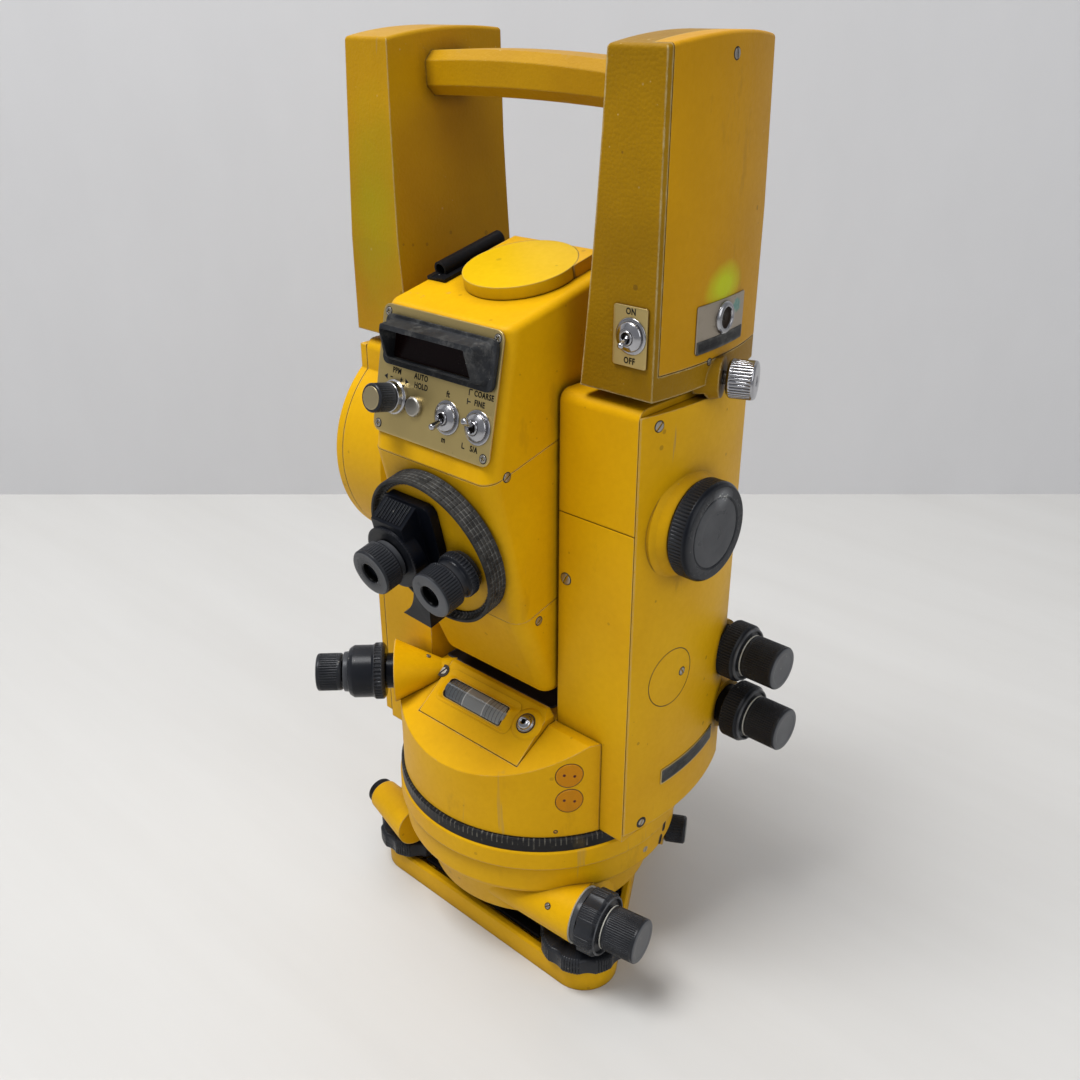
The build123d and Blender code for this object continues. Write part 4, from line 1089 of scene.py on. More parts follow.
@dataclass(frozen=True)
class Spirit:
    """Vial glass: grey spirit painted darker at one end and lighter at the other as shading, a paler bubble
    with a painted highlight round its rim, fine dark divisions across it.
    """

    name: str
    bubble: tuple[float, float] = (-2.0, 6.0)
    step: float = 2.0

    def make(self) -> Material:
        """Builds the material.

        Divisions are a square wave of the distance along the vial, left out under the bubble.

        Returns:
            The material.
        """
        s = Shader(self.name)
        place = s.node("ShaderNodeSeparateXYZ", None, {0: s.coords}, out="X")
        along = place / MM - self.bubble[0]
        away = s.math("ABSOLUTE", along)
        # Painted shading: the spirit goes from dark at one end of the vial to light at the other.
        tone = s.math("ADD", 0.5, along * 0.03, clamp=True)
        colour = s.blend(tone, (0.035, 0.045, 0.055), (0.22, 0.225, 0.215))
        colour = s.blend(s.noise(160.0, 4.0) * 0.4, colour, (0.09, 0.09, 0.085))
        # Painted highlight: a pale ring round the bubble.
        rim = s.math("LESS_THAN", s.math("ABSOLUTE", away - self.bubble[1]), 0.3)
        colour = s.blend(s.math("LESS_THAN", away, self.bubble[1]) * 0.35, colour, (0.30, 0.31, 0.30))
        colour = s.blend(rim * 0.6, colour, (0.5, 0.5, 0.48))
        wave = s.math("FRACT", away / self.step)
        lines = s.math("LESS_THAN", wave, 0.16) * s.math("GREATER_THAN", away, self.bubble[1] + 0.6)
        colour = s.blend(lines * 0.8, colour, (0.02, 0.02, 0.02))
        return s.finish(Base_Color=colour, Roughness=0.10 + 0.1 * s.noise(200.0), Coat_Weight=1.0,
                        Coat_Roughness=0.03)


@dataclass(frozen=True)
class Backdrop:
    """Pale plain floor and wall."""

    name: str
    colour: Colour
    second: Colour

    def make(self) -> Material:
        """Builds the material: two pale tones in a faint grain, clear from behind.

        Returns:
            The material.
        """
        s = Shader(self.name)
        grain = s.noise(9.0, 4.0, 0.55, stretch=(0.35, 3.0, 1.0))
        front = 1.0 - s.node("ShaderNodeNewGeometry", out="Backfacing")
        return s.finish(Base_Color=s.blend(grain, self.colour, self.second), Roughness=0.55, Alpha=front)


class Finish(Enum):
    """The finishes of the instrument, each made once."""

    PAINT = Paint("finish_yellow_paint")
    PAINT_CAP = Paint("finish_yellow_paint_cap", (0.72, 0.46, 0.002), (0.65, 0.40, 0.002), chips=0.05)
    PAINT_WORN = Paint("finish_yellow_paint_worn", (0.33, 0.175, 0.002), (0.22, 0.115, 0.002),
                       chips=0.7, grime_and_shade=0.9, wrinkle=0.6, lumps=1.0, edge=0.0012)
    PAINT_COVER = Paint("finish_yellow_paint_cover", (0.58, 0.29, 0.002), (0.48, 0.235, 0.002),
                        chips=0.15, grime_and_shade=0.8, wrinkle=0.5, lumps=0.35, scratches=0.7, stains=(
        Stain((77, 11, 306), (12, 14, 9), (0.50, 0.55, 0.01), 0.8),
    ))
    PAINT_FADED = Paint("finish_yellow_paint_faded", (0.48, 0.26, 0.003), (0.37, 0.185, 0.003),
                        chips=0.40, grime_and_shade=0.7, wrinkle=0.6, lumps=0.55, stains=(
        Stain((-62, -34, 330), (22, 8, 62), (0.30, 0.27, 0.004), 0.62),
    ))
    PAINT_SIDE = Paint("finish_yellow_paint_side", chips=0.10, grime_and_shade=0.7, scratches=1.0, stains=(
        # A darker brown patch round the big knob's root.
        Stain((75, 0, 217), (9, 27, 27), (0.24, 0.12, 0.01), 0.35),
    ))
    PLUG = Paint("finish_orange_plug", colour=(0.62, 0.25, 0.004), shade=(0.52, 0.20, 0.004), chips=0.0)
    BLACK = BlackMetal("finish_black_anodised")
    ENAMEL = BlackMetal("finish_black_enamel", colour=(0.005, 0.005, 0.006), gloss=0.38, wear=0.4)
    GLOSSY = BlackMetal("finish_black_casing", colour=(0.003, 0.004, 0.007), gloss=0.24, wear=0.15)
    # Near black for dark joints and holes, and for sheets of painted shade.
    GAP = Moulded("finish_dark_gap_and_shade", (0.010, 0.006, 0.004), (0.018, 0.010, 0.006), 0.7, 0.2, 0.02)
    RUST = Moulded("finish_rusty_hole", (0.10, 0.012, 0.004), (0.05, 0.008, 0.004), 0.6, 0.2, 0.0)
    RUBBER = Moulded("finish_black_rubber", (0.007, 0.007, 0.008), (0.013, 0.013, 0.013),
                     gloss=0.5, grain=0.4, dust=0.16, settled=0.85)
    HOOD = Moulded("finish_dusty_hood", (0.010, 0.011, 0.013), (0.030, 0.032, 0.036), 0.42, 0.25, 0.7)
    INK = Moulded("finish_black_ink", (0.005, 0.005, 0.005), (0.010, 0.010, 0.010), 0.5, 0.1, 0.02)
    PLATE = Moulded("finish_black_plate", (0.009, 0.009, 0.010), (0.02, 0.02, 0.02), 0.28, 0.2, 0.45)
    PANEL = BareMetal("finish_silver_panel", (0.58, 0.45, 0.19), (0.32, 0.24, 0.09), 0.32,
                      (0.08, 1.0, 1.0), 0.25)
    CORRODED = BareMetal("finish_corroded_plate", (0.46, 0.40, 0.32), (0.24, 0.20, 0.14), 0.36, spots=0.4,
                         corrosion=(76.5, 20.5, 297.5))
    CHROME = BareMetal("finish_chrome", (0.40, 0.40, 0.42), (0.20, 0.19, 0.17), 0.09, spots=0.4)
    STEEL = BareMetal("finish_steel", (0.40, 0.38, 0.34), (0.20, 0.17, 0.12), 0.30, (1.0, 1.0, 0.1), 0.4)
    BRASS = BareMetal("finish_brass", (0.50, 0.42, 0.25), (0.28, 0.22, 0.12), 0.28, (0.1, 1.0, 1.0), 0.3)
    GLASS = Glass("finish_dark_glass")
    LENS = Glass("finish_eye_lens", (0.002, 0.002, 0.003), 0.08, 0.25)
    WINDOW = Glass("finish_display_window", (0.006, 0.002, 0.002), 0.22, 0.0)
    SPIRIT = Spirit("finish_vial_spirit")
    WRAP = Moulded("finish_cell_wrap", (0.06, 0.14, 0.30), (0.08, 0.17, 0.34), 0.35, 0.2, 0.1)
    DIAL = DialRing("finish_divided_ring")
    # Cream for the clamps' index lines and for the painted highlight on the lower clamp's lug.
    CREAM = Moulded("finish_index_line_and_highlight", (0.66, 0.65, 0.58), (0.50, 0.48, 0.42), 0.5, 0.2, 0.1)

    @property
    def material(self) -> Material:
        """The finish's material, made on first use."""
        known = bpy.data.materials.get(self.value.name)
        return known if known is not None else self.value.make()


def dress(node: str, finish: Finish) -> None:
    """Gives a CAD node's own mesh a finish.

    Args:
        node: CAD node.
        finish: its finish.
    """
    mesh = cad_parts[node].data
    mesh.materials.clear()
    mesh.materials.append(finish.material)
    log.info("node %s in %s", node, finish.value.name)


# ---- Small hardware ----


class Drive(Enum):
    """Recess in a screw's head."""

    SLOT = 1
    CROSS = 2
    HOLES = 3


@dataclass(frozen=True)
class Screw:
    """Screw head on a face: a polar height field with its recess painted near black as shade, in a dark seat.
    """

    name: str
    place: "Place | Bulge"
    body: str = "alidade"
    slot: str = "steel"
    radius: float = 2.0
    height: float = 0.5
    drive: Drive = Drive.SLOT
    finish: Finish = Finish.STEEL
    spin: float = 20.0
    recess: float = 0.45
    root: float = -0.3

    def build(self) -> Object:
        """Makes the seat and the head.

        The head's height is h (1 - 0.35 (r/R)^4), with a bar, two crossed bars or two pits cut down.

        Returns:
            The head.
        """
        rim = self.radius + 0.38
        seat = eased([(rim, -0.2), (rim, 0.05), (self.radius - 0.1, 0.06), (self.radius - 0.1, -0.2)], 0.05)
        Surface(self.name + "_seat").lathe(self.place, seat, segments=48).build(
            self.body, "black_paint", Finish.GAP)
        r = np.concatenate([[0.0], np.linspace(0.06, 0.9, 15), [0.95, 0.985, 1.0, 1.0]]) * self.radius
        a = np.linspace(0.0, TURN, 72, endpoint=False)
        radius, angle = np.meshgrid(r, a, indexing="ij")
        x, y = radius * np.cos(angle), radius * np.sin(angle)
        top = self.height * (1.0 - 0.35 * (radius / self.radius) ** 4)
        wide = 0.17 * self.radius
        bars = np.abs(y) < wide
        if self.drive is Drive.CROSS:
            bars = (bars | (np.abs(x) < wide)) & (radius < 0.72 * self.radius)
        if self.drive is Drive.HOLES:
            beside = np.abs(np.abs(x) - 0.45 * self.radius) < 0.13 * self.radius
            bars = beside & (np.abs(y) < 0.13 * self.radius)
        z = np.where(bars, top - self.recess, top)
        z[-1] = self.root
        turn = angle + math.radians(self.spin)
        points = np.stack([radius * np.cos(turn), radius * np.sin(turn), z], axis=-1)
        # The drive's recess is marked below 0: painted shade, near black.
        bare = np.where(bars, -1.0, 0.0)
        return Surface(self.name).add(self.place.carry(points), bare, ring=True).build(
            self.body, self.slot, self.finish, smooth=25.0)


@dataclass(frozen=True)
class Lettering:
    """Printed words on a plate, a thin layer of ink."""

    name: str
    words: str
    place: Place
    body: str
    size: float = 3.0
    squeeze: float = 0.82
    spacing: float = 1.12
    weight: float = 0.085
    half_thick: float = 0.03

    def build(self) -> Object:
        """Turns the words into a thin mesh that lies on the plate.

        Returns:
            The finished object.
        """
        curve = bpy.data.curves.new(self.name, "FONT")
        curve.body = self.words
        curve.size = self.size
        curve.align_x, curve.align_y = "CENTER", "CENTER"
        curve.extrude = self.half_thick
        curve.offset = self.weight
        curve.space_character = self.spacing
        curve.resolution_u = 3
        made = linked(self.name + "_curve", curve)
        bpy.context.view_layer.update()
        mesh = bpy.data.meshes.new_from_object(made.evaluated_get(bpy.context.evaluated_depsgraph_get()))
        bpy.data.objects.remove(made)
        mesh.name = self.name
        local = np.empty(len(mesh.vertices) * 3)
        mesh.vertices.foreach_get("co", local)
        local = local.reshape(-1, 3) * (self.squeeze, 1.0, 1.0) + (0.0, 0.0, self.half_thick)
        mesh.vertices.foreach_set("co", self.place.carry(local).reshape(-1))
        mesh.materials.clear()
        mesh.materials.append(Finish.INK.material)
        return settle(linked(self.name, mesh), self.body)


def plate(name: str, place: "Place | Bulge", outline: Grid, thick: float, body: str, slot: str,
          finish: Finish, ease: float = 0.2, replaces: Sequence[str] = ()) -> Object:
    """A flat plate of that outline whose upper edge is eased.

    The outline is carried through insets and heights: up its wall, round its edge and in.

    Args:
        name: name of the piece.
        place: frame with out as the plate's normal, at its underside.
        outline: closed loop in millimetres.
        thick: thickness.
        body: CAD body it moves with.
        slot: material slot of the record; not used.
        finish: its finish.
        ease: rounding of the upper edge.
        replaces: CAD nodes it stands for.

    Returns:
        The finished object.
    """
    inner = min(1.2, 0.5 * float((outline.max(0) - outline.min(0)).min() / 2))
    profile = eased([(0.4 * inner, 0.0), (0.0, 0.0), (0.0, thick), (inner, thick)], ease)
    return Surface(name).slab(place, outline, profile).build(body, slot, finish, replaces)


def gap_line(name: str, place: "Place | Bulge", radius: float, wide: float, body: str) -> Object:
    """A narrow dark ring: the joint round a round lid, a low ridge carried round the axis.

    Args:
        name: name of the piece.
        place: frame of the lid's face.
        radius: middle of the ring.
        wide: its width.
        body: CAD body it moves with.

    Returns:
        The finished object.
    """
    half = wide / 2
    inner, outer = radius - half, radius + half
    ridge = eased([(outer, -0.2), (outer, 0.05), (inner, 0.05), (inner, -0.2)], 0.03)
    return Surface(name).lathe(place, ridge, segments=96).build(body, "black_paint", Finish.GAP)


def soften(node: str, width: float, body: str, finish: Finish) -> Object:
    """Stands in for a CAD node with a copy whose hard edges are rounded.

    The copy's doubled points are merged and its flat triangles joined before a Bevel rounds what
    turns by more than the ROUNDED angle.

    Args:
        node: CAD node.
        width: width of the rounding, millimetres.
        body: CAD body it moves with.
        finish: its finish.

    Returns:
        The finished object.
    """
    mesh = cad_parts[node].data.copy()
    work = bmesh.new()
    work.from_mesh(mesh)
    bmesh.ops.remove_doubles(work, verts=work.verts, dist=WELD)
    bmesh.ops.dissolve_limit(work, angle_limit=FLAT, verts=work.verts, edges=work.edges)
    work.to_mesh(mesh)
    work.free()
    mesh.shade_smooth()
    mesh.set_sharp_from_angle(angle=SHARP)
    mesh.materials.clear()
    mesh.materials.append(finish.material)
    piece = linked(node + "_rounded", mesh)
    bevel = piece.modifiers.new("rounding", "BEVEL")
    bevel.width, bevel.segments = width * MM, 3
    bevel.limit_method, bevel.angle_limit = "ANGLE", ROUNDED
    return settle(piece, body, [node])


# ---- Sub-assemblies ----


@dataclass(frozen=True)
class ClampSet:
    """Coaxial clamp ring and tangent knob on one stem."""

    name: str
    origin: Point3
    azimuth: float
    ring_radius: float
    body: str
    ring_body: str
    knob_body: str
    ring_knurl: Knurl = Knurl(Grip.RIBS, 64, 0.5, 5.2, 12.6)
    knob_radius: float = 9.7
    stem_radius: float = 4.9

    @property
    def place(self) -> Place:
        """Frame of the stem."""
        return Place.axis(self.origin, heading(self.azimuth))

    def build(self) -> None:
        """Makes the clamp ring with its sunk front, the white index line and the tangent knob."""
        r, k, stem = self.ring_radius, self.knob_radius, self.stem_radius + 0.05
        ring = eased([(stem, 4.6), (r - 0.9, 4.6), (r, 5.3), (r, 12.4), (r - 0.9, 13.3), (r - 1.3, 14.5),
                      (r - 2.1, 14.55), (r - 2.3, 13.0), (k - 1.2, 12.8), (k - 1.4, 14.5),
                      (stem, 14.55)], 0.25)
        Surface(f"{self.name}_clamp").lathe(self.place, ring, self.ring_knurl, 384, self._lip).build(
            self.ring_body, "black_anodised", Finish.BLACK, [self.ring_body])
        knob = eased([(stem, 15.6), (k - 0.5, 15.6), (k, 16.1), (k, 30.5), (k - 0.6, 31.15), (7.2, 31.15),
                      (6.9, 31.05), (0.0, 31.05)], 0.3)
        fine = Knurl(Grip.RIBS, 60, 0.42, 17.0, 29.6)
        Surface(f"{self.name}_tangent").lathe(self.place, knob, fine, 360, self._face).build(
            self.knob_body, "black_anodised", Finish.BLACK, [self.knob_body])
        line = eased([(stem, 15.1), (k - 0.1, 15.1), (k - 0.1, 15.58), (stem, 15.58)], 0.1)
        Surface(f"{self.name}_index_line").lathe(self.place, line).build(
            self.knob_body, "silver_panel", Finish.CREAM)

    def _lip(self, r: Grid, a: Grid, t: Grid) -> Grid:
        """The ring's thin front lip is rubbed here and there."""
        return np.where((t > 14.2) & (r > self.ring_radius - 2.2), 0.35 + 0.4 * np.sin(3.0 * a) ** 2, 0.0)

    @staticmethod
    def _face(r: Grid, a: Grid, t: Grid) -> Grid:
        """The knob's end face is grey, partly rubbed and partly a painted sheen."""
        return np.where((t > 30.9) & (r < 9.4), 0.62, 0.0)


@dataclass(frozen=True)
class Base:
    """Levelling base: plates, foot screws, body and lower clamp."""

    circle_radius: float = 63.2
    azimuths: tuple[float, float, float] = (-30.0, -150.0, 90.0)
    knob_radius: float = 19.7
    clamp: ClampSet = ClampSet("lower", (57.6, -38.3, 37.5), 9.7, 14.3, "base", "lower_clamp_ring",
                               "lower_tangent_knob", Knurl(Grip.LOBES, 7, 1.0, 4.0, 14.2))

    def build(self) -> None:
        """Dresses the castings and makes the screws, knobs and small fittings."""
        for node in ("base_plate", "tribrach_body"):
            dress(node, Finish.PAINT)
        for node in ("spring_plate", "lower_clamp_stem"):
            dress(node, Finish.ENAMEL)
        dress("axis_bush", Finish.BRASS)
        for number, azimuth in enumerate(self.azimuths, start=1):
            self.foot_screw(number, azimuth)
        self.clamp.build()
        self.boss_edge_highlight()
        self.drive_knob()
        self.small_fittings()

    def foot_screw(self, number: int, azimuth: float) -> None:
        """Makes one levelling screw: a knob with ribbed lobes and smooth hollows between them.

        Args:
            number: 1 to 3.
            azimuth: its direction from the vertical axis, degrees.
        """
        x, y, _ = (self.circle_radius * c for c in heading(azimuth))
        r = self.knob_radius
        profile = eased([(0, 6.0), (2.95, 6.0), (2.95, 12.4), (r - 1.8, 12.4), (r, 13.8), (r, 20.4),
                         (r - 1.2, 21.4), (12.6, 22.3), (11.4, 22.9), (9.6, 23.0), (8.6, 22.2), (7.0, 22.4),
                         (6.6, 23.7), (2.95, 23.7), (2.95, 27.6), (0, 27.6)], 0.4)
        cuts = Knurl(Grip.LOBES, 8, 1.15, 11.5, 24.0)
        Surface(f"foot_screw_{number}_knob").lathe(Place((x, y, 0.0)), profile, cuts, 480).build(
            f"foot_screw_{number}", "black_anodised", Finish.BLACK, [f"foot_screw_{number}"])

    def boss_edge_highlight(self) -> None:
        """Makes the painted highlight, a pale ring round the black collar on the lug's edge where the clamp
        leaves its lug.
        """
        # Painted highlight: a pale ring for the light on the lug's end edge.
        line = eased([(12.0, 1.55), (12.9, 1.6), (13.0, 1.85), (12.0, 1.95)], 0.08)
        Surface("lug_edge_highlight").lathe(self.clamp.place, line).build("base", "silver_panel", Finish.CREAM)
        collar = eased([(5.0, 1.7), (12.2, 1.8), (12.2, 4.2), (5.0, 4.25)], 0.2)
        Surface("lug_collar").lathe(self.clamp.place, collar).build("base", "black_anodised", Finish.BLACK)

    def drive_knob(self) -> None:
        """Makes the small knob low on the right that turns the circle."""
        place = Place.axis((36.0, 20.4, 39.4), heading(29.5))
        profile = eased([(0, 12.2), (2.5, 12.2), (2.5, 20.0), (5.8, 20.0), (6.6, 20.8), (6.6, 29.0),
                         (5.8, 29.8), (0, 29.8)], 0.3)
        Surface("circle_knob").lathe(place, profile, Knurl(Grip.RIBS, 30, 0.4, 21.0, 28.4), 180).build(
            "circle_drive_knob", "black_anodised", Finish.BLACK, ["circle_drive_knob"])

    def small_fittings(self) -> None:
        """Makes the little screw in the lug, and the screw and two slots low on the right."""
        Screw("lug_screw", Place.axis((49.2, -49.8, 44.2), (0.04, -0.86, 0.51)), "base", radius=1.1,
              height=0.3, spin=40.0).build()
        Screw("body_screw", Place.axis((64.3, -1.0, 52.9), (1.0, 0.0, 0.0)), "base", radius=1.5,
              height=0.35, spin=70.0).build()
        # Each slot is a dark plate standing on the wall: its darkness is painted shade of the opening.
        for end, (angle, z) in ((1, (13.5, 55.0)), (2, (10.5, 49.9))):
            out = heading(angle)
            spot = (64.5 * out[0], 64.5 * out[1], z)
            sunk = Place.axis(spot, out).moved(z=-0.6).spun(-20.0)
            plate(f"body_slot_{end}", sunk, round_rect(2.8, 4.8, 1.3), 0.8, "base", "black_paint",
                  Finish.GAP, 0.05)


@dataclass(frozen=True)
class LowerPlate:
    """Yellow collar and the divided ring round the horizontal circle."""

    def build(self) -> None:
        """Dresses the collar, ring and glass circle."""
        dress("lower_collar", Finish.PAINT)
        dress("circle_ring", Finish.DIAL)
        dress("horizontal_circle", Finish.GLASS)


@dataclass(frozen=True)
class Plummet:
    """Optical plummet at the front left."""

    height: float = 121.6
    azimuth: float = -135.0
    stem: float = 4.95

    @property
    def place(self) -> Place:
        """Frame of the plummet's level axis."""
        return Place.axis((0.0, 0.0, self.height), heading(self.azimuth))

    def build(self) -> None:
        """Dresses the cone and neck, makes the focusing ring and the eyepiece."""
        dress("plummet_housing", Finish.PAINT)
        dress("plummet_tube", Finish.BLACK)
        ring = eased([(self.stem, 70.2), (11.2, 70.2), (12.8, 71.4), (12.8, 75.0), (12.2, 75.6), (11.9, 76.2),
                      (11.9, 84.6), (10.6, 86.6), (9.2, 87.0), (9.0, 89.2), (self.stem, 89.2)], 0.3)
        teeth = Knurl(Grip.TEETH, 44, 0.6, 71.6, 74.8)
        Surface("plummet_ring").lathe(self.place, ring, teeth, 352).build(
            "plummet_focus_ring", "black_anodised", Finish.BLACK, ["plummet_focus_ring"])
        eye = eased([(self.stem, 90.0), (8.0, 90.0), (8.5, 90.6), (8.5, 100.8), (7.9, 101.4), (3.6, 101.4),
                     (2.6, 97.4), (0.0, 97.4)], 0.25)
        Surface("plummet_eye").lathe(self.place, eye, Knurl(Grip.RIBS, 44, 0.45, 91.8, 99.8), 264,
                                     lambda r, a, t: np.where((t > 101.1) & (r > 3.7), 0.5, 0.0)).build(
            "plummet_eyepiece", "black_anodised", Finish.BLACK, ["plummet_eyepiece"])
        Screw("plummet_screw", Place.axis((-35.6, -36.4, 129.1), (0.33, 0.23, 0.92)), radius=0.9,
              height=0.3).build()


@dataclass(frozen=True)
class Vial:
    """Plate level in its wedge on the drum's slope."""

    slope: float = 38.0
    front: float = -51.2
    front_height: float = 111.37
    middle: tuple[float, float] = (-2.0, 15.2)
    length: float = 35.5
    width: float = 9.4
    crown: float = 2.1
    curve: float = 7.1

    @property
    def place(self) -> Place:
        """Frame of the wedge's sloped top, at its front edge in the middle."""
        return Place((0.0, self.front, self.front_height)).leaned(self.slope)

    def build(self) -> None:
        """Dresses the wedge and makes its arched window, the vial and the screws beside it."""
        dress("vial_housing", Finish.PAINT)
        window = self.place.moved(self.middle[0], self.middle[1], 0.0)
        self.surround(window)
        Surface("vial_glass").add(self.tube(window), 0.0).build(
            "alidade", "optical_glass", Finish.SPIRIT, ["vial_tube"])
        self.capstan()
        Screw("wedge_screw", self.place.moved(-27.6, 20.6, 0.05), radius=1.7, height=0.1,
              spin=65.0).build()
        gap_line("wedge_screw_well", self.place.moved(-27.6, 20.6, 0.02), 2.5, 1.0, "alidade")

    def arch(self, y: Grid) -> Grid:
        """Height of the vial's round top over the slope: a circle's arc across the window."""
        return np.sqrt(self.curve ** 2 - np.clip(y, -6.0, 6.0) ** 2) - self.curve + self.crown

    def surround(self, window: Place) -> None:
        """Makes the skin round the window: it rises from the slope to the vial's arch, then turns in.

        Each loop lies between the outer and the inner outline; its height grows with the smooth
        step of its share of the way.

        Args:
            window: frame of the window's middle.
        """
        outer = round_rect(self.length + 8.4, 15.4, 3.2)
        inner = round_rect(self.length, self.width, 1.6)
        loops = []
        for share in np.linspace(0.0, 1.0, 7):
            flat = outer * (1 - share) + inner * share
            rise = share * share * (3 - 2 * share)
            height = 0.04 + rise * (self.arch(flat[:, 1]) + 0.35)
            loops.append(np.column_stack([flat, height]))
        shift = np.array([0.0, 0.9])
        loops[0][:, :2] += shift
        loops[1][:, :2] += shift * 0.8
        loops[2][:, :2] += shift * 0.5
        loops.append(np.column_stack([inner * 0.985, loops[-1][:, 2] - 1.3]))
        Surface("vial_surround").loft(window, loops).build("alidade", "yellow_paint", Finish.PAINT)
        # Dark rim round the inside of the window: painted shade of the window's step.
        edge = [np.column_stack([inner * k, self.arch(inner[:, 1]) + lift])
                for k, lift in ((1.0, 0.12), (0.985, 0.18), (0.955, 0.12), (0.95, -0.5))]
        Surface("vial_window_edge").loft(window, edge).build("alidade", "black_paint", Finish.GAP)

    def tube(self, window: Place) -> Grid:
        """Part of a round tube in the window: the arch carried along it, its ends turned down.

        Args:
            window: frame of the window's middle.

        Returns:
            Grid of points in metres.
        """
        y = np.linspace(-5.0, 5.0, 33)[None, :]
        half = self.length / 2 + 0.3
        x = np.array([-half, -half, *np.linspace(-half + 0.05, half - 0.05, 5), half, half])[:, None]
        sunk = np.array([1.0, 0.0, *np.zeros(5), 0.0, 1.0])[:, None]
        z = self.arch(y) - 0.25 - 2.0 * sunk
        return window.carry(np.stack([x + 0 * y, y + 0 * x, z + 0 * x], axis=-1))

    def capstan(self) -> None:
        """Makes the domed capstan screw that adjusts the vial, on its raised round pad."""
        seat = self.place.moved(26.2, 17.2, 0.0)
        pad = eased([(7.4, -0.3), (6.2, 0.7), (4.6, 0.95), (0, 0.95)], 0.5)
        Surface("capstan_pad").lathe(seat, pad, segments=72).build(
            "alidade", "yellow_paint", Finish.PAINT)
        gap_line("capstan_gap", seat.moved(0, 0, 0.95), 4.25, 0.5, "alidade")
        head = eased([(3.9, 0.7), (3.9, 1.5), (3.3, 1.7), (3.1, 2.7), (2.5, 3.3), (1.4, 3.6), (1.1, 3.2),
                      (0, 3.2)], 0.35, 5)
        # The pit in the dome's top is marked below 0: painted shade, near black.
        Surface("capstan_screw").lathe(seat, head, Knurl(), 72,
                                       lambda r, a, t: np.where((r < 1.15) & (t > 3.0), -1.0, 0.0)).build(
            "alidade", "bright_steel", Finish.CHROME)
        # The pin hole is a dark disc on the dome's side: painted shade of the hole.
        pin = Place.axis(tuple(np.array(seat.moved(0.4, -3.05, 2.1).origin)), tuple(-seat.basis[1]))
        hole = eased([(0.75, -0.4), (0.75, 0.06), (0.0, 0.06)], 0.05)
        Surface("capstan_hole").lathe(pin, hole, segments=24).build(
            "alidade", "black_paint", Finish.GAP)


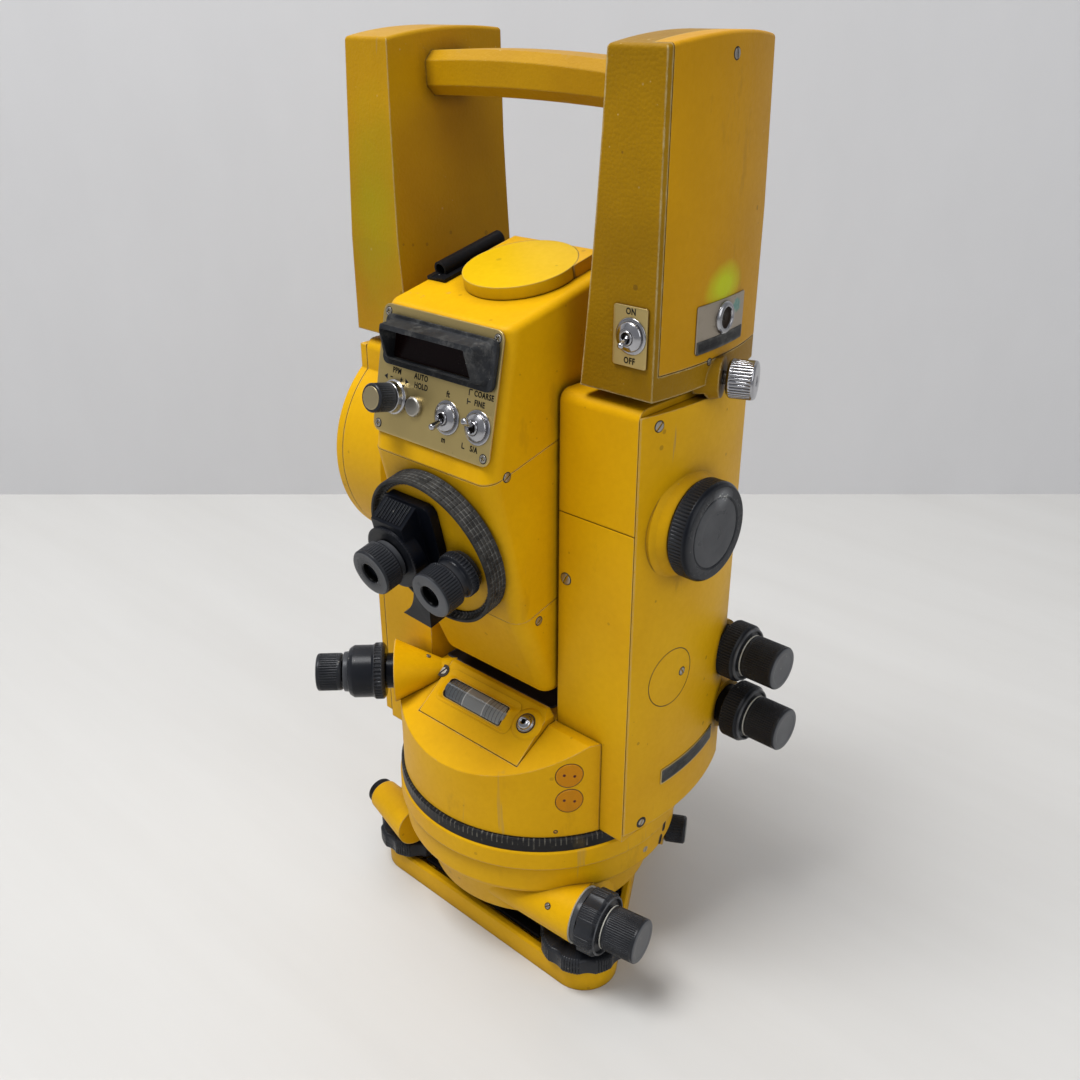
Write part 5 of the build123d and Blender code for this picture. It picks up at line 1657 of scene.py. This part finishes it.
@dataclass(frozen=True)
class Alidade:
    """Turning upper part: drum, standards, covers, clamps and big knob."""

    vertical: ClampSet = ClampSet("vertical", (65.0, 48.0, 138.8), 0.0, 13.1, "alidade",
                                  "vertical_clamp_ring", "vertical_tangent_knob")
    horizontal: ClampSet = ClampSet("horizontal", (69.5, 48.0, 109.3), 0.0, 13.1, "alidade",
                                    "horizontal_clamp_ring", "horizontal_tangent_knob")
    knob_height: float = 217.6
    groove_radius: float = 14.0
    drum_radius: float = 64.5

    def build(self) -> None:
        """Dresses the castings and makes the knobs, plugs, screws and plates."""
        for node in ("alidade_drum", "right_standard", "left_standard", "left_side_cover"):
            dress(node, Finish.PAINT)
        dress("right_side_cover", Finish.PAINT_SIDE)
        dress("alidade_spindle", Finish.STEEL)
        dress("trunnion_bearings", Finish.BRASS)
        dress("clamp_stems", Finish.ENAMEL)
        Plummet().build()
        Vial().build()
        self.vertical.build()
        self.horizontal.build()
        self.big_knob()
        self.drum_plugs()
        self.cover_details()

    def big_knob(self) -> None:
        """Makes the large knob on the right, ribbed, with a groove round its hollow face, grey partly from
        rubbing and partly as a painted sheen.
        """
        place = Place.axis((71.0, 0.0, self.knob_height), (1.0, 0.0, 0.0))
        g = self.groove_radius
        profile = eased([(0, -2.0), (5.95, -2.0), (5.95, 8.3), (18.6, 8.3), (19.6, 9.2), (19.6, 15.0),
                         (19.1, 15.9), (18.2, 16.85), (g + 0.5, 16.9), (g + 0.2, 16.3), (g - 0.2, 16.3),
                         (g - 0.5, 16.75), (8.0, 16.45), (0.0, 16.35)], 0.25)
        Surface("big_knob").lathe(place, profile, Knurl(Grip.RIBS, 84, 0.5, 9.3, 14.9), 504, self._rub_and_sheen).build(
            "micrometer_knob", "black_anodised", Finish.BLACK, ["micrometer_knob"])

    def _rub_and_sheen(self, r: Grid, a: Grid, t: Grid) -> Grid:
        """The face is grey, partly rubbed and partly a painted sheen, and its upper edge chipped white near
        the groove.

        Args:
            r: radius of each point.
            a: its angle about the axis.
            t: its station on the axis.

        Returns:
            Bareness at each point.
        """
        high = np.clip(1.0 - np.abs((a - 1.35 + math.pi) % TURN - math.pi) / 0.55, 0.0, 1.0)
        chip = np.where((t > 16.0) & (np.abs(r - self.groove_radius + 1.5) < 2.6), 1.5 * high, 0.0)
        # Inside the groove the face is grey: rubbed in part, painted sheen in part.
        return np.maximum(chip, np.where((r < self.groove_radius - 0.4) & (t > 16.2), 0.42, 0.0))

    def drum_plugs(self) -> None:
        """Makes the drum's round plugs, bent to its wall, its small dot and a near-black sheet of painted
        shade on the deck behind the wedge.
        """
        for number, (azimuth, z) in enumerate(((-37.2, 109.0), (-37.1, 96.1)), start=1):
            side = Bulge.round(self.drum_radius, azimuth, z)
            face = eased([(5.75, -0.3), (5.75, 0.16), (5.4, 0.22), (0.0, 0.24)], 0.08)
            Surface(f"drum_plug_{number}").lathe(side, face, segments=72).build(
                "alidade", "yellow_paint", Finish.PLUG)
            gap_line(f"drum_plug_{number}_joint", side, 5.95, 0.26, "alidade")
            for end in (-1, 1):
                hole = eased([(0.62, -0.2), (0.62, 0.3), (0.0, 0.3)], 0.04)
                Surface(f"drum_plug_{number}_hole_{end + 2}").lathe(
                    side.shifted(end * 2.2, -0.5 * end), hole, segments=20).build(
                    "alidade", "black_paint", Finish.RUST)
        spot = Bulge.round(self.drum_radius, math.degrees(math.atan2(-43.3, 47.8)), 80.2)
        Screw("drum_dot", spot, radius=0.6, height=0.2, finish=Finish.PLUG).build()
        # Painted shade: a thin near-black sheet on the deck behind the wedge, under the telescope.
        plate("deck_painted_shade", Place((-6.0, -12.0, 121.9)), round_rect(66.0, 21.0, 2.0), 0.4, "alidade",
              "black_paint", Finish.GAP, 0.1)

    def cover_details(self) -> None:
        """Makes the cover's screws, its access lid's joint and the bare black strip."""
        side = Bulge.through((71.2, -27.0), (75.3, 8.0), (66.3, 48.8), -4.8, 150.9)
        gap_line("access_joint", side, 12.75, 0.36, "alidade")
        Screw("access_screw", side.shifted(7.1, -0.2), radius=1.6, height=0.3, spin=120.0).build()
        Screw("cover_screw_top", side.at(-18.7, 261.0), radius=1.9, height=0.3, spin=45.0).build()
        well = side.at(-17.7, 83.9)
        Screw("cover_screw_low", well, radius=1.5, height=0.2, spin=60.0).build()
        gap_line("cover_screw_well", well, 2.1, 0.9, "alidade")
        plate("cover_strip_rim", side.at(13.5, 102.3), round_rect(42.4, 7.6, 0.8), 0.32, "alidade",
              "silver_panel", Finish.PANEL, 0.08)
        plate("cover_strip", side.at(13.5, 102.3), round_rect(41.2, 6.4, 0.6), 0.5, "alidade",
              "black_plastic", Finish.PLATE, 0.1)
        Screw("standard_screw", Place((37.9, -27.05, 191.2), (1, 0, 0), (0, 0, 1), (0, -1, 0)),
              radius=2.3, height=0.4, spin=60.0).build()


@dataclass(frozen=True)
class Handle:
    """Carrying handle with the battery tower on the right."""

    switch: tuple[float, float] = (66.2, 293.8)
    front: float = -27.0
    jack: tuple[float, float] = (11.4, 294.8)
    side: Bulge = Bulge.through((75.4, -27.0), (77.4, 2.0), (70.1, 43.8), 0.0, 300.0)

    def build(self) -> None:
        """Dresses both towers and makes the switch, socket, plates, screws and thumbscrew."""
        dress("carry_handle", Finish.PAINT_FADED)
        dress("battery_case", Finish.PAINT_WORN)
        dress("battery_cover", Finish.PAINT_COVER)
        dress("battery_cells", Finish.WRAP)
        self.switch_set()
        self.jack_set()
        self.thumbscrew()

    def switch_set(self) -> None:
        """Makes the switch's plate, washer, nut, lever and the words on it."""
        x, z = self.switch
        face = Place((x, self.front, z), (1, 0, 0), (0, 0, 1), (0, -1, 0))
        plate("switch_plate", face.moved(-0.55, -0.3, 0.0), round_rect(14.4, 20.8, 1.0), 0.85, "alidade",
              "silver_panel", Finish.PANEL, 0.15, ["power_fittings"])
        toggle_hardware("power", face.moved(0, 0, 0.85), "alidade")
        lever("power_lever", face.moved(0, 0, 2.2).leaned(26.0), 5.8, 1.2, "power_toggle", "power_toggle")
        Lettering("word_on", "ON", face.moved(-0.4, 8.3, 0.85), "alidade", 3.1).build()
        Lettering("word_off", "OFF", face.moved(-0.4, -8.6, 0.85), "alidade", 3.1).build()

    def jack_set(self) -> None:
        """Makes the charging socket's plate, bright ring and dark bore, the bare strip and screws."""
        y, z = self.jack
        plate("jack_plate", self.side.at(y - 0.9, z - 1.6), round_rect(33.4, 16.6, 0.8), 0.4, "alidade",
              "silver_panel", Finish.CORRODED, 0.1)
        plate("jack_strip", self.side.at(y - 1.0, z - 8.0), round_rect(32.0, 4.6, 0.4), 0.65, "alidade",
              "black_plastic", Finish.PLATE, 0.1)
        seat = self.side.at(y, z).frame
        ring = eased([(5.9, 0.2), (5.9, 0.9), (5.3, 1.6), (4.0, 1.75), (3.7, 1.2), (3.6, 0.2)], 0.3)
        Surface("jack_ring").lathe(seat, ring, segments=72).build(
            "alidade", "bright_steel", Finish.CHROME)
        bore = eased([(3.75, 1.0), (3.3, 0.9), (2.9, 0.5), (1.0, 0.45), (0.9, 1.1), (0.0, 1.15)], 0.15)
        Surface("jack_bore").lathe(seat, bore, segments=48).build(
            "alidade", "black_plastic", Finish.GAP)
        Screw("cover_foot_screw", self.side.at(3.6, 280.3), radius=1.1, height=0.25, spin=30.0).build()
        Screw("tower_screw", self.side.at(7.7, 380.2), radius=1.7, height=0.35, spin=100.0).build()

    def thumbscrew(self) -> None:
        """Makes the bright ribbed thumbscrew."""
        place = Place.axis((70.0, 8.4, 272.9), heading(22.0))
        profile = eased([(0, 2.0), (2.5, 2.0), (2.5, 11.0), (6.2, 11.0), (7.2, 12.0), (7.2, 20.6),
                         (6.6, 21.2), (2.2, 21.2), (1.8, 20.9), (0, 20.9)], 0.3)
        Surface("locking_thumbscrew").lathe(place, profile, Knurl(Grip.RIBS, 34, 0.6, 12.2, 20.2), 272).build(
            "battery_thumbscrew", "bright_steel", Finish.CHROME, ["battery_thumbscrew"])


def toggle_hardware(name: str, place: Place, body: str) -> None:
    """Makes a toggle switch's wide washer and its conical nut, whose throat round the lever is painted near
    black as shade.

    Args:
        name: start of the pieces' names.
        place: frame of the plate's face at the switch.
        body: CAD body they move with.
    """
    washer = eased([(6.4, 0.0), (6.4, 0.35), (6.0, 0.55), (4.7, 0.6), (3.0, 0.7)], 0.2)
    Surface(f"{name}_washer").lathe(place, washer, segments=64).build(
        body, "bright_steel", Finish.CHROME)
    nut = eased([(5.2, 0.5), (5.2, 1.3), (4.9, 1.7), (3.3, 2.7), (2.7, 2.8), (2.3, 2.2), (0.0, 1.9)], 0.15)
    # The nut's throat is marked below 0: painted shade, near black.
    Surface(f"{name}_nut").lathe(place, nut, Knurl(Grip.RIBS, 40, 0.18, 0.6, 1.4), 240,
                                 lambda r, a, t: np.where(r < 2.6, -1.0, 0.0)).build(
        body, "bright_steel", Finish.CHROME)
    bush = eased([(2.6, 2.2), (2.6, 3.1), (2.3, 3.4), (1.9, 3.3), (1.6, 2.4), (0.0, 2.3)], 0.15)
    # The bush's bore is marked below 0: painted shade, near black.
    Surface(f"{name}_bush").lathe(place, bush, segments=48,
                                  bare=lambda r, a, t: np.where(r < 1.7, -1.0, 0.0)).build(
        body, "bright_steel", Finish.CHROME)


def lever(name: str, place: Place, length: float, radius: float, body: str, node: str) -> None:
    """Makes a toggle's lever: a slim bat with a round end, turned about its own axis.

    Args:
        name: name of the piece.
        place: frame at the pivot with out along the lever.
        length: length from the pivot.
        radius: radius of its end.
        body: CAD body it is.
        node: CAD node it stands for.
    """
    profile = eased([(0.0, -1.5), (1.5, -1.0), (1.7, 0.0), (0.9 * radius, 1.2), (0.75 * radius, 1.8),
                     (radius, length - 1.6), (0.95 * radius, length - 0.5), (0.0, length)], 0.5, 5)
    Surface(name).lathe(place, profile, segments=40).build(
        body, "bright_steel", Finish.CHROME, [node], smooth=60.0)


@dataclass(frozen=True)
class Telescope:
    """Tilting telescope: castings, focusing ring, eyepieces, sight and cap."""

    ring_front: float = 66.3
    focus_radius: float = 32.5
    front: float = 56.0
    right_eye: tuple[float, float] = (18.0, -2.0)
    left_eye: tuple[float, float] = (-9.0, 1.5)
    casing_ribs: int = 9

    def build(self) -> None:
        """Dresses the castings and makes the round pieces."""
        for node in ("edm_housing", "telescope_housing", "telescope_base"):
            dress(node, Finish.PAINT)
        dress("top_cap", Finish.PAINT_CAP)
        for node in ("objective_cell", "peep_sight"):
            dress(node, Finish.ENAMEL)
        dress("trunnion_axles", Finish.STEEL)
        dress("vertical_circle", Finish.GLASS)
        dress("objective_lens", Finish.GLASS)
        self.casing()
        self.focus()
        self.main_eyepiece()
        self.reading_eyepiece()
        self.seam_screws()
        DisplayPanel().build()

    def casing(self) -> None:
        """Makes the rounded prism casing and the ribs on the front half of its top."""
        soften("prism_block", 1.5, "telescope", Finish.GLOSSY)
        slope = math.degrees(math.atan2(22.5 - 17.0, 76.0 - 66.0))
        top = TELESCOPE.moved(-8.2, -71.2, 19.75).leaned(slope)
        for k in range(self.casing_ribs):
            x = (k - (self.casing_ribs - 1) / 2) * 1.62
            plate(f"casing_rib_{k + 1}", top.moved(x, 0.0, -0.2), round_rect(0.95, 8.4, 0.4, 4), 0.75,
                  "telescope", "black_plastic", Finish.GLOSSY, 0.25)

    def focus(self) -> None:
        """Makes the focusing ring, its rim cut in rows of small pads."""
        a, b, r = self.front + 1.1, self.ring_front, self.focus_radius
        profile = eased([(29.1, a), (r - 0.5, a), (r, a + 0.5), (r, b - 0.4), (r - 0.4, b), (31.2, b),
                         (30.9, b - 0.5), (30.6, b - 2.6), (29.1, b - 2.6)], 0.2)
        Surface("focusing_ring").lathe(SIGHT_LINE, profile, Knurl(Grip.PADS, 80, 0.6, a + 0.5, b - 0.4, 5),
                                       640).build("focus_ring", "black_rubber", Finish.RUBBER,
                                                  ["focus_ring"])

    def eye_place(self, at: tuple[float, float]) -> Place:
        """Frame of an eyepiece's axis, with out towards the eye."""
        return Place.axis(TELESCOPE.moved(at[0], 0.0, at[1]).origin, SIGHT_LINE.out)

    def main_eyepiece(self, s1: float = 83.5, r: float = 9.5) -> None:
        """Makes the main eyepiece: toothed ring at its root, smooth collar and ribbed barrel.

        Args:
            s1: where its face lies ahead of the trunnion.
            r: its radius.
        """
        profile = eased([(5.05, 64.0), (r - 1.3, 64.0), (r - 0.5, 66.0), (r - 0.5, 69.6), (r - 1.2, 70.4),
                         (r - 1.5, 71.0), (r - 1.5, 73.6), (r - 0.4, 74.2), (r, 74.8), (r, s1 - 0.7),
                         (r - 0.6, s1), (4.7, s1), (4.2, s1 - 0.6), (3.9, s1 - 3.4), (0.0, s1 - 3.4)], 0.22)
        self._barrel("main", self.right_eye, profile, Knurl(Grip.RIBS, 48, 0.45, 75.0, s1 - 1.2), s1)
        place = self.eye_place(self.right_eye)
        teeth = eased([(r - 1.6, 66.2), (r - 0.1, 66.4), (r, 66.8), (r, 69.4), (r - 0.4, 69.9),
                       (r - 1.6, 70.0)], 0.15)
        Surface("main_eye_teeth").lathe(place, teeth, Knurl(Grip.TEETH, 40, 0.4, 66.5, 69.8), 320).build(
            "main_eyepiece", "black_anodised", Finish.BLACK)

    def reading_eyepiece(self, s1: float = 88.5, r: float = 9.8) -> None:
        """Makes the reading eyepiece: smooth neck and ribbed barrel.

        Args:
            s1: where its face lies ahead of the trunnion.
            r: its radius.
        """
        profile = eased([(5.05, 77.4), (r - 1.6, 77.4), (r - 1.6, 79.6), (r - 0.5, 80.2), (r, 80.8),
                         (r, s1 - 0.7), (r - 0.6, s1), (4.5, s1), (4.0, s1 - 0.6), (3.7, s1 - 3.4),
                         (0.0, s1 - 3.4)], 0.22)
        self._barrel("reading", self.left_eye, profile, Knurl(Grip.RIBS, 52, 0.42, 81.0, s1 - 1.0), s1)
        place = self.eye_place(self.left_eye)
        rim = eased([(12.6, 76.2), (13.45, 76.4), (13.5, 77.0), (12.6, 77.25), (9.0, 77.2)], 0.12)
        Surface("reading_flange_rim").lathe(
            place, rim, Knurl(Grip.RIBS, 72, 0.3, 76.2, 77.2), 432,
            lambda rr, a, t: np.where(t > 77.0, 0.3, 0.0)).build(
            "telescope", "black_plastic", Finish.GLOSSY)

    def _barrel(self, name: str, at: tuple[float, float], profile: Grid, ribs: Knurl, face: float) -> None:
        """Makes an eyepiece's barrel and the dark lens deep in its eye hole.

        Args:
            name: main or reading.
            at: its axis' place across and up.
            profile: radius and distance ahead of the trunnion.
            ribs: cuts on its rim.
            face: where its face lies.
        """
        place = self.eye_place(at)
        # The face's ring is grey, worn in part and painted sheen in part; inside the eye hole is painted
        # shade, near black.
        Surface(f"{name}_eye").lathe(
            place, profile, ribs, 6 * ribs.count,
            lambda rr, a, t: np.where((t > face - 0.35) & (rr > 4.8) & (rr < 9.2), 0.55,
                                      np.where((t < face - 0.4) & (rr < 4.6), -1.0, 0.0))).build(
            f"{name}_eyepiece", "black_anodised", Finish.BLACK, [f"{name}_eyepiece"])
        lens = eased([(3.8, face - 3.35), (3.2, face - 3.2), (1.6, face - 2.9), (0.0, face - 2.8)], 0.2)
        Surface(f"{name}_eye_lens").lathe(place, lens, segments=40).build(
            f"{name}_eyepiece", "optical_glass", Finish.LENS)

    def seam_screws(self) -> None:
        """Makes the screws at the seams of the right flank and within the focusing ring."""
        for name, y, z in (("seam_screw_upper", -53.7, 241.0), ("seam_screw_lower", -36.7, 174.0)):
            Screw(name, Place((32.3, y, z), (0, 1, 0), (0, 0, 1), (1, 0, 0)), "telescope", radius=1.7,
                  height=0.3, spin=30.0).build()
        Screw("ring_face_screw", TELESCOPE.moved(16.8, -56.1, 9.4).leaned(90.0), "telescope", radius=2.2,
              height=0.4, finish=Finish.BLACK, spin=60.0).build()


@dataclass(frozen=True)
class DisplayPanel:
    """Silver control panel with display hood, knob, button and two toggles."""

    half_width: float = 31.3
    half_height: float = 24.3
    toggles: tuple[tuple[str, float, float], ...] = (("unit", 8.3, 25.0), ("mode", 24.0, -22.0))
    toggle_up: float = -11.0
    knob: tuple[float, float] = (-19.5, -9.3)
    button: tuple[float, float] = (-9.0, -10.8)

    def build(self) -> None:
        """Makes the plate and everything on it."""
        outline = round_rect(2 * self.half_width, 2 * self.half_height, 3.5)
        plate("control_plate", PANEL.moved(0, 0, 0.1), outline, 0.9, "telescope", "silver_panel",
              Finish.PANEL, 0.2, ["display_panel"])
        face = PANEL.moved(0, 0, 1.0)
        for k, (x, y) in enumerate(((-28.3, 21.3), (28.5, 21.3), (28.5, -21.3), (-28.3, -21.3)), start=1):
            Screw(f"panel_screw_{k}", face.moved(x, y), "telescope", radius=1.45, height=0.4,
                  drive=Drive.CROSS, spin=25.0 * k).build()
        for name, x, lean in self.toggles:
            toggle_hardware(name, face.moved(x, self.toggle_up, 0.0), "telescope")
            lever(f"{name}_lever", PANEL.moved(x, self.toggle_up, 1.4).leaned(lean), 8.4, 1.3,
                  f"{name}_toggle", f"{name}_toggle")
        self.setting_knob(face)
        self.push_button()
        self.hood()
        self.words(face)
        self.marks(face)

    def setting_knob(self, face: Place) -> None:
        """Makes the setting knob's stepped silver base, ribbed black barrel and brass face.

        Args:
            face: frame of the plate's upper face.
        """
        x, y = self.knob
        base = eased([(6.6, 0.0), (6.6, 1.6), (5.9, 2.1), (5.7, 4.1), (5.2, 4.4), (0.0, 4.4)], 0.2)
        Surface("setting_base").lathe(face.moved(x, y), base, segments=72).build(
            "telescope", "silver_panel", Finish.CHROME)
        spot = PANEL.moved(x, y)
        barrel = eased([(2.05, 5.7), (5.5, 5.7), (5.5, 13.1), (5.0, 13.6), (4.6, 13.6), (4.5, 13.45),
                        (0, 13.45)], 0.15)
        Surface("setting_barrel").lathe(spot, barrel, Knurl(Grip.RIBS, 36, 0.4, 6.4, 12.8), 216).build(
            "ppm_knob", "black_anodised", Finish.BLACK, ["ppm_knob"])
        face_disc = eased([(4.4, 13.4), (4.4, 13.7), (4.1, 13.8), (0, 13.8)], 0.1)
        Surface("setting_face").lathe(spot, face_disc, segments=64).build(
            "ppm_knob", "brass", Finish.BRASS)

    def push_button(self) -> None:
        """Makes the round push button."""
        profile = eased([(0, -1.2), (3.85, -1.2), (3.85, 2.3), (3.2, 3.0), (0, 2.9)], 0.5)
        Surface("push_button").lathe(PANEL.moved(*self.button), profile, segments=72).build(
            "hold_button", "silver_panel", Finish.STEEL, ["hold_button"])

    def hood(self) -> None:
        """Rounds the edges of the dusty hood over the digits and dresses the dark window."""
        soften("display_hood", 0.9, "telescope", Finish.HOOD)
        dress("display_glass", Finish.WINDOW)

    @staticmethod
    def words(face: Place) -> None:
        """Prints the generic words of the panel.

        Args:
            face: frame of the plate's upper face.
        """
        for k, (words, x, y, size) in enumerate((
            ("PPM", -20.6, 0.3, 3.0), ("−", -23.4, -2.6, 3.0), ("+", -17.8, -2.6, 3.0),
            ("AUTO", -7.3, 0.4, 3.0), ("HOLD", -6.9, -2.9, 3.0), ("ft", 7.6, -2.6, 3.2),
            ("m", 7.7, -19.4, 3.2), ("COARSE", 25.3, 0.6, 2.9), ("FINE", 23.6, -2.7, 2.9),
            ("S/A", 23.4, -19.2, 3.0),
        )):
            Lettering(f"panel_word_{k}", words, face.moved(x, y, 0.0), "telescope", size).build()

    @staticmethod
    def marks(face: Place) -> None:
        """Prints the arrows beside the setting knob's signs and the brackets beside the switch's words.

        Args:
            face: frame of the plate's upper face.
        """
        arrow = polygon(1.25, 3, 180.0)
        for side, x, spin in (("left", -26.2, 0.0), ("right", -15.0, 180.0)):
            plate(f"panel_arrow_{side}", face.moved(x, -2.7).spun(spin), arrow, 0.06, "telescope",
                  "black_plastic", Finish.INK, 0.02)
        for k, (x, y, wide, high) in enumerate((
            (18.0, 0.5, 0.45, 2.2), (18.8, 1.6, 1.6, 0.45), (17.6, -2.8, 0.45, 2.2), (18.4, -2.8, 1.6, 0.45),
            (17.5, -18.9, 0.45, 1.9), (18.1, -19.9, 1.5, 0.45),
        )):
            plate(f"panel_tick_{k}", face.moved(x, y), round_rect(wide, high, 0.15, 3), 0.06, "telescope",
                  "black_plastic", Finish.INK, 0.02)


@dataclass(frozen=True)
class Studio:
    """Camera, lamps and pale surroundings."""

    azimuth: float = 42.265
    elevation: float = 25.967
    position: Point3 = (0.28635, -0.31557, 0.39354)
    lens: float = 36.52
    sky: Colour = (0.93, 0.95, 1.0)
    sky_strength: float = 0.36
    wall_foot: Point3 = (-320.0, 352.0, 0.0)
    wall_azimuth: float = -47.7
    reach: float = 3000.0
    wall_top: float = 2500.0

    def build(self) -> None:
        """Sets the camera, the lamps, the world, the floor and the wall."""
        self.camera()
        self.lamp("key", (-0.28, -0.62, 1.9), 0.8, 36.0)
        self.lamp("fill", (1.2, -0.2, 0.9), 1.0, 5.0)
        self.daylight()
        self.surroundings()

    def camera(self) -> None:
        """Adds the camera and makes it the scene's."""
        data = bpy.data.cameras.new("camera")
        data.sensor_width = 36.0
        data.lens = self.lens
        data.clip_start, data.clip_end = 0.01, 20.0
        holder = linked("camera", data)
        az, el = math.radians(self.azimuth), math.radians(self.elevation)
        back = Vector((math.sin(az) * math.cos(el), -math.cos(az) * math.cos(el), math.sin(el)))
        holder.location = self.position
        holder.rotation_euler = back.to_track_quat("Z", "Y").to_euler()
        bpy.context.scene.camera = holder

    @staticmethod
    def lamp(name: str, position: Point3, size: float, power: float) -> None:
        """Adds a soft square lamp that points at the instrument's middle.

        Args:
            name: the lamp's name.
            position: its place, metres.
            size: its side, metres.
            power: its power, watts.
        """
        data = bpy.data.lights.new(name, "AREA")
        data.size, data.energy = size, power
        holder = linked(name, data)
        holder.location = position
        holder.rotation_euler = (Vector(position) - MIDDLE).to_track_quat("Z", "Y").to_euler()

    def daylight(self) -> None:
        """Sets an even pale sky."""
        world = bpy.data.worlds.new("studio")
        bpy.context.scene.world = world
        world.use_nodes = True
        background = world.node_tree.nodes["Background"]
        background.inputs["Color"].default_value = (*self.sky, 1.0)
        background.inputs["Strength"].default_value = self.sky_strength

    def surroundings(self) -> None:
        """Adds the pale floor and the wall behind."""
        floor = Surface("floor")
        row = np.linspace(-self.reach, self.reach, 3)
        x, y = np.meshgrid(row, row)
        floor.add(WORLD.carry(np.stack([x, y, 0 * x], axis=-1)))
        self._staged(floor, Backdrop("pale_floor", (0.60, 0.595, 0.58), (0.54, 0.53, 0.51)))
        wall = Surface("wall")
        facing = Place.axis(self.wall_foot, heading(self.wall_azimuth))
        u, v = np.meshgrid(row, np.linspace(-2, self.wall_top, 3))
        wall.add(facing.carry(np.stack([u, v, 0 * u], axis=-1)))
        self._staged(wall, Backdrop("pale_wall", (0.63, 0.63, 0.64), (0.59, 0.59, 0.60)))

    @staticmethod
    def _staged(surface: Surface, finish: Backdrop) -> None:
        """Makes a surface of the surroundings, which isn't part of the instrument.

        Args:
            surface: its points and faces.
            finish: its finish.
        """
        mesh = bpy.data.meshes.new(surface.name)
        mesh.from_pydata(np.concatenate(surface.points).tolist(), [], np.concatenate(surface.quads).tolist())
        mesh.materials.append(finish.make())
        holder = linked(surface.name, mesh)


def main() -> None:
    """Builds the instrument in order."""
    logging.basicConfig(level=logging.INFO, format="%(name)s %(message)s")
    for part in (Base(), LowerPlate(), Alidade(), Handle(), Telescope(), Studio()):
        log.info("building %s", type(part).__name__)
        part.build()
    scene = bpy.context.scene
    scene.view_settings.view_transform = "Standard"
    bpy.context.view_layer.update()


if __name__ == "__main__":
    main()
